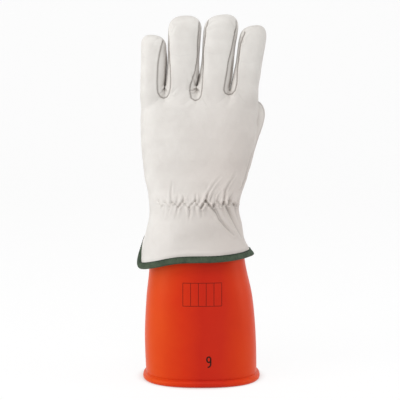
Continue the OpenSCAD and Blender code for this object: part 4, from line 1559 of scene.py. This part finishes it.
# the section: first out from the leather's face, then up from its edge
section = [(tape_face, v) for v in np.linspace(BINDING_TOP, BINDING_FOLD, 7)]
for turn in np.linspace(0, math.pi, 9)[1:-1]:
    section.append((tape_face * math.cos(turn),
                    BINDING_FOLD - tape_face * 0.9 * math.sin(turn)))
section += [(-tape_face, v) for v in np.linspace(BINDING_FOLD, BINDING_TOP, 7)]
section += [(-half - 0.3, BINDING_H - 0.8), (half + 0.3, BINDING_H - 0.8)]
section = np.array(section)
section_out, section_up = section[None, :, 0], section[None, :, 1]
centre_line = edge - out * half
stand = edge_stand(oval_angle(edge)[:, None], section_up, edge[:, 2:])
rows = np.arange(len(edge))[:, None]
ripple = 0.12 * np.sin(rows * 0.9) * (section_up > 1)
u = section_out + np.sign(section_out) * ripple + stand
rings = centre_line[:, None] + u[..., None] * out[:, None] + section_up[..., None] * up[:, None]
binding = ring_mesh("hem_tape", rings, [tape_cloth], "protector")
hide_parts("hem_binding")
print("binding is", round(edge_length), "mm long and", BINDING_H, "mm wide when folded")

# %% [markdown]
# ## The rubber glove
#
# A dipped glove is one skin of rubber. The sleeve is a plain tube that flares a little and ends
# in a rolled bead, so it is a grid of rings. The hand and fingers use the protector's field,
# moved in by the leather and a little room.

# %% Sleeve with its rolled bead
UNDER_ELASTIC = 2.9
SLEEVE_TOP = 184.35
BEAD_R = 3.2
wrist_low, wrist_high = curve_through(HAND_OVALS, np.array([174.5, 184.5]))
SLEEVE_OVALS = [
    (0.0, 1.75, 55.9, 40.3),
    (44.0, 0.5, 56.0, 39.5),
    (83.3, -0.4, 53.25, 38.5),
    (113.0, -2.1, 48.5, 36.0),
    (146.0, -4.7, 45.8, 33.3),
    (174.5, wrist_low[0], wrist_low[1] - UNDER_ELASTIC, wrist_low[2] - UNDER_ELASTIC),
    (184.5, wrist_high[0], wrist_high[1] - UNDER_ELASTIC, wrist_high[2] - UNDER_ELASTIC),
]


def sleeve_ring(z, inset, count=180):
    """Points of the sleeve's oval at one height."""
    middle, half_w, half_d = curve_through(SLEEVE_OVALS, np.array([max(z, 0.0)]))[0]
    return oval_ring(z, middle, half_w - inset, half_d - inset, count)


def sleeve_profile():
    """Height and inset of each ring: up the outside, down the inside, round the bead."""
    foot = 2 * BEAD_R + 0.3
    outside = [(z, 0.5 * math.exp((foot - z) / 0.9)) for z in foot + (SLEEVE_TOP - foot)
               * np.linspace(0, 1, 110) ** 1.5]
    inside = [(z, RUBBER_T) for z in np.linspace(SLEEVE_TOP, foot, 60)]
    bead = []
    for turn in np.linspace(100, 440, 28):
        a = math.radians(turn)
        bead.append((BEAD_R * (1 + math.sin(a)), RUBBER_T / 2 - 0.6 - BEAD_R * math.cos(a)))
    return outside + inside + bead


rings = [sleeve_ring(z, inset) for z, inset in sleeve_profile()]
sleeve = ring_mesh("rubber_sleeve_skin", rings, [rubber], "insulating_glove")
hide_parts("rubber_sleeve")
print("sleeve:", len(rings), "rings; bead", 2 * BEAD_R, "mm thick")

# %% Rubber hand and fingers
RUBBER_LOW_Z = 176.0
RUBBER_VOXEL = 2.6

hand_rubber, rubber_quads, rubber_owner = hand_skin(RUBBER_LOW_Z, RUBBER_INSET, RUBBER_VOXEL)
# under the elastic the rubber is held in, and a soft unevenness runs over all of it
extra = (UNDER_ELASTIC - RUBBER_INSET) * (1 - smooth_step(hand_rubber[:, 2], 184, 197))
hand_rubber = hand_rubber - point_normals(hand_rubber, rubber_quads) * extra[:, None]
uneven = slow_waves(hand_rubber, 3, 40, 0.15)
hand_rubber = hand_rubber + point_normals(hand_rubber, rubber_quads) * uneven[:, None]
rubber_n = point_normals(hand_rubber, rubber_quads)
rubber_centre = hand_rubber[rubber_quads].mean(axis=1)
over = rubber_centre[:, 2] > SLEEVE_TOP - 0.5
rubber_finger = rubber_centre[:, 2] > BEND_CUT_Z
rubber_hole = (off_thumb_axis(rubber_centre) < ROOT_R - 3) & (rubber_centre[:, 1] > 0)
rubber_hole &= rubber_centre[:, 2] < 240
own = rubber_owner[rubber_quads[:, 0]]
piece = thick_panel("rubber_hand_skin", hand_rubber, rubber_n,
                    rubber_quads[over & ~rubber_finger & ~rubber_hole], RUBBER_T,
                    [rubber, rubber_inside])
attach(piece, "insulating_glove")
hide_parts("rubber_hand")
for f, finger in enumerate(FINGERS):
    piece = thick_panel(f"rubber_{finger}_skin", hand_rubber, rubber_n,
                        rubber_quads[rubber_finger & (own == f)], RUBBER_T,
                        [rubber, rubber_inside])
    bend_with_finger(piece)
    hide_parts(f"rubber_{finger}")
print("rubber hand:", len(hand_rubber), "points")

# %% Rubber thumb
rubber_thumb, rubber_thumb_quads = thumb_skin(RUBBER_INSET, 2.4)
piece = thick_panel("rubber_thumb_skin", rubber_thumb,
                    point_normals(rubber_thumb, rubber_thumb_quads), rubber_thumb_quads,
                    RUBBER_T, [rubber, rubber_inside])
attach(piece, "rubber_thumb_body")
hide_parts("rubber_thumb")
print("rubber thumb:", len(rubber_thumb), "points")

# %% [markdown]
# ## Elastic, thread and print
#
# An elastic tape is sewn inside the wrist of the protector by a zigzag seam. The thread lies in
# short stitches on the leather, so each stitch is a small bent tube whose ends dip into the skin.
# The tape of the hem is sewn on in the same way. The sleeve carries a ruled grid for test dates
# and a plain number for the hand's size. They are thin films of ink on the rubber.

# %% Elastic inside the wrist
def front_of(rows, x, z, inset=0.0):
    """Points on the back of the hand's side of an oval at places x and heights z."""
    middle, half_w, half_d = curve_through(rows, z).T
    u = np.clip(np.abs(x - middle) / (half_w - inset), 0, 1)
    y = -(half_d - inset) * (1 - u**ROUNDNESS) ** (1 / ROUNDNESS)
    return np.stack([x, y, z], axis=-1)


def grid_quads(rows, columns):
    """Quads of a grid of points, rows first."""
    r, c = np.meshgrid(np.arange(rows - 1), np.arange(columns - 1), indexing="ij")
    i = (r * columns + c).ravel()
    return np.stack([i, i + 1, i + columns + 1, i + columns], axis=1)


ELASTIC_H = 9.0
ELASTIC_T = 0.6
ELASTIC_INSET = 1.75
ELASTIC_ENDS = (-47, 36)
BAND_ROWS, BAND_COLUMNS = 12, 150

heights = np.linspace(-1, 1, BAND_ROWS) * ELASTIC_H / 2 + ELASTIC_Z
x, z = np.meshgrid(np.linspace(*ELASTIC_ENDS, BAND_COLUMNS), heights)
band = front_of(HAND_OVALS, x.ravel(), z.ravel(), ELASTIC_INSET)
middle_row = band.reshape(BAND_ROWS, BAND_COLUMNS, 3)[BAND_ROWS // 2]
band_length = np.linalg.norm(np.diff(middle_row, axis=0), axis=1).sum()
band[:, 1] += 0.18 * np.sin(x.ravel() * 2.3)
band_quads = grid_quads(BAND_ROWS, BAND_COLUMNS)
elastic = thick_panel("wrist_elastic_tape", band, point_normals(band, band_quads), band_quads,
                      ELASTIC_T, [elastic_cloth])
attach(elastic, "protector")
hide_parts("wrist_elastic")
print("elastic is", ELASTIC_H, "mm wide and", round(float(band_length)), "mm long when flat")


# %% A row of stitches
def sew(name, path, normals, stitch, gap, radius, material, body):
    """A row of stitches, stitch mm long and gap mm apart, along a path on a surface."""
    far = np.concatenate([[0], np.cumsum(np.linalg.norm(np.diff(path, axis=0), axis=1))])
    points, faces = [], []
    arch = np.sin(np.linspace(0, math.pi, 9))
    turn = np.arange(8) * math.pi / 4
    at = 0.3
    while at + stitch < far[-1]:
        t = np.linspace(at, at + stitch, 9)
        spine = np.stack([np.interp(t, far, path[:, i]) for i in range(3)], axis=1)
        outward = np.stack([np.interp(t, far, normals[:, i]) for i in range(3)], axis=1)
        spine = spine + outward * (radius * (1.5 * arch**0.6 - 0.9))[:, None]
        along = np.gradient(spine, axis=0)
        along /= np.linalg.norm(along, axis=1)[:, None]
        across = np.cross(along, outward)
        across /= np.linalg.norm(across, axis=1)[:, None]
        upward = np.cross(across, along)
        rings = []
        for k in range(9):
            size = radius * (0.55 + 0.45 * arch[k] ** 0.5)
            rings.append(spine[k] + size * (np.cos(turn)[:, None] * across[k]
                                            + np.sin(turn)[:, None] * upward[k]))
        ring_points, ring_faces = loft(rings)
        base = len(points)
        points += ring_points
        faces += [tuple(base + i for i in face) for face in ring_faces]
        at += stitch + gap
    mesh = bpy.data.meshes.new(name)
    mesh.from_pydata([tuple((np.array(p) - SHIFT) / 1000) for p in points], [], faces)
    mesh.polygons.foreach_set("use_smooth", np.ones(len(faces), bool))
    mesh.materials.append(material)
    piece = bpy.data.objects.new(name, mesh)
    scene.collection.objects.link(piece)
    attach(piece, body)
    print(name, "is", round(float(far[-1])), "mm long")
    return piece


# %% Zigzag thread
near = np.abs(skin[skin_quads].mean(axis=1)[:, 2] - ELASTIC_Z) < ELASTIC_REACH
wrist_skin = BVHTree.FromPolygons(skin.tolist(), skin_quads[near].tolist())
path, path_normals = [], []
for a, b in zip(ZIGZAG[:-1], ZIGZAG[1:]):
    for t in np.arange(0, 1, 0.04):
        # from in front of the glove, straight onto the back of the hand
        start = Vector((a[0] + t * (b[0] - a[0]), -90, a[1] + t * (b[1] - a[1])))
        hit, normal, _, _ = wrist_skin.ray_cast(start, Vector((0, 1, 0)))
        path.append(tuple(hit))
        path_normals.append(tuple(normal if normal.y < 0 else -normal))
path = np.array(path)
path_normals = np.array(path_normals)
for _ in range(6):
    path_normals[1:-1] = path_normals[:-2] + path_normals[1:-1] + path_normals[2:]
    path_normals /= np.linalg.norm(path_normals, axis=1)[:, None]
path_length = np.linalg.norm(np.diff(path, axis=0), axis=1).sum()
print("zigzag over the folds of the leather, in mm:", round(path_length))
zigzag = sew("zigzag_thread", path, path_normals, 2.5, 0.35, 0.24, thread_cotton, "protector")
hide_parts("elastic_stitching")

# %% Thread of the tape
# the dark row is both the real stitching and a painted shadow line along the tape's upper edge
ROW_UP = BINDING_H - 1.4
row_out = tape_face + edge_stand(oval_angle(edge), ROW_UP, edge[:, 2])
tape_row = centre_line + ROW_UP * up + out * row_out[:, None]
sew("tape_thread_row", tape_row, out, 2.6, 0.5, 0.34, tape_thread, "protector")
print("thread of the tape sits", ROW_UP, "mm above the hem")

# %% A line of ink
INK_T = 0.12


def ink_line(name, points, width, material):
    """A film of ink along a line of (x, z) points on the sleeve."""
    points = np.asarray(points, float)
    along = np.gradient(points, axis=0)
    along /= np.linalg.norm(along, axis=1)[:, None]
    side = np.stack([-along[:, 1], along[:, 0]], axis=1) * width / 2
    flat = np.stack([points - side, points, points + side], axis=1).reshape(-1, 2)
    film = front_of(SLEEVE_OVALS, flat[:, 0], flat[:, 1])
    film[:, 1] -= 0.05
    quads = grid_quads(len(points), 3)
    normals = point_normals(film, quads)
    if normals[:, 1].mean() > 0:
        quads = quads[:, ::-1]
        normals = -normals
    piece = thick_panel(name, film, normals, quads, INK_T, [material])
    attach(piece, "insulating_glove")


print("ink is", INK_T, "mm thick")

# %% Grid on the sleeve
GRID_X = (-16.5, 21.4)
GRID_Z = (81.0, 103.5)
GRID_LINE = 0.5
for k in range(6):
    x = GRID_X[0] + (GRID_X[1] - GRID_X[0]) * k / 5
    ink_line(f"grid_upright_{k}", [(x, z) for z in np.linspace(*GRID_Z, 20)], GRID_LINE, grid_ink)
for k, z in enumerate(GRID_Z):
    ink_line(f"grid_bar_{k}", [(x, z) for x in np.linspace(*GRID_X, 40)], GRID_LINE, grid_ink)
print("grid:", round(GRID_X[1] - GRID_X[0], 1), "by", GRID_Z[1] - GRID_Z[0], "mm")

# %% Number on the sleeve
NUMBER_X, NUMBER_Z = 8.8, 25.5
NUMBER_LINE = 1.4
turn = np.linspace(-0.5, 2 * math.pi - 0.25, 44)
bowl = np.stack([NUMBER_X + 1.9 * np.cos(turn), NUMBER_Z + 2.45 + 2.7 * np.sin(turn)], axis=1)
turn = np.linspace(0, 1, 30)
tail = np.stack([
    NUMBER_X + 1.9 - 0.1 * turn - 3.6 * np.clip(turn - 0.45, 0, 1) ** 1.6 * 2.1,
    NUMBER_Z + 2.6 - 7.7 * np.sin(turn * math.pi / 2)], axis=1)
ink_line("number_bowl", bowl, NUMBER_LINE, number_ink)
ink_line("number_tail", tail, NUMBER_LINE, number_ink)
print("number:", round(float(bowl[:, 1].max() - tail[:, 1].min()), 1), "mm high")
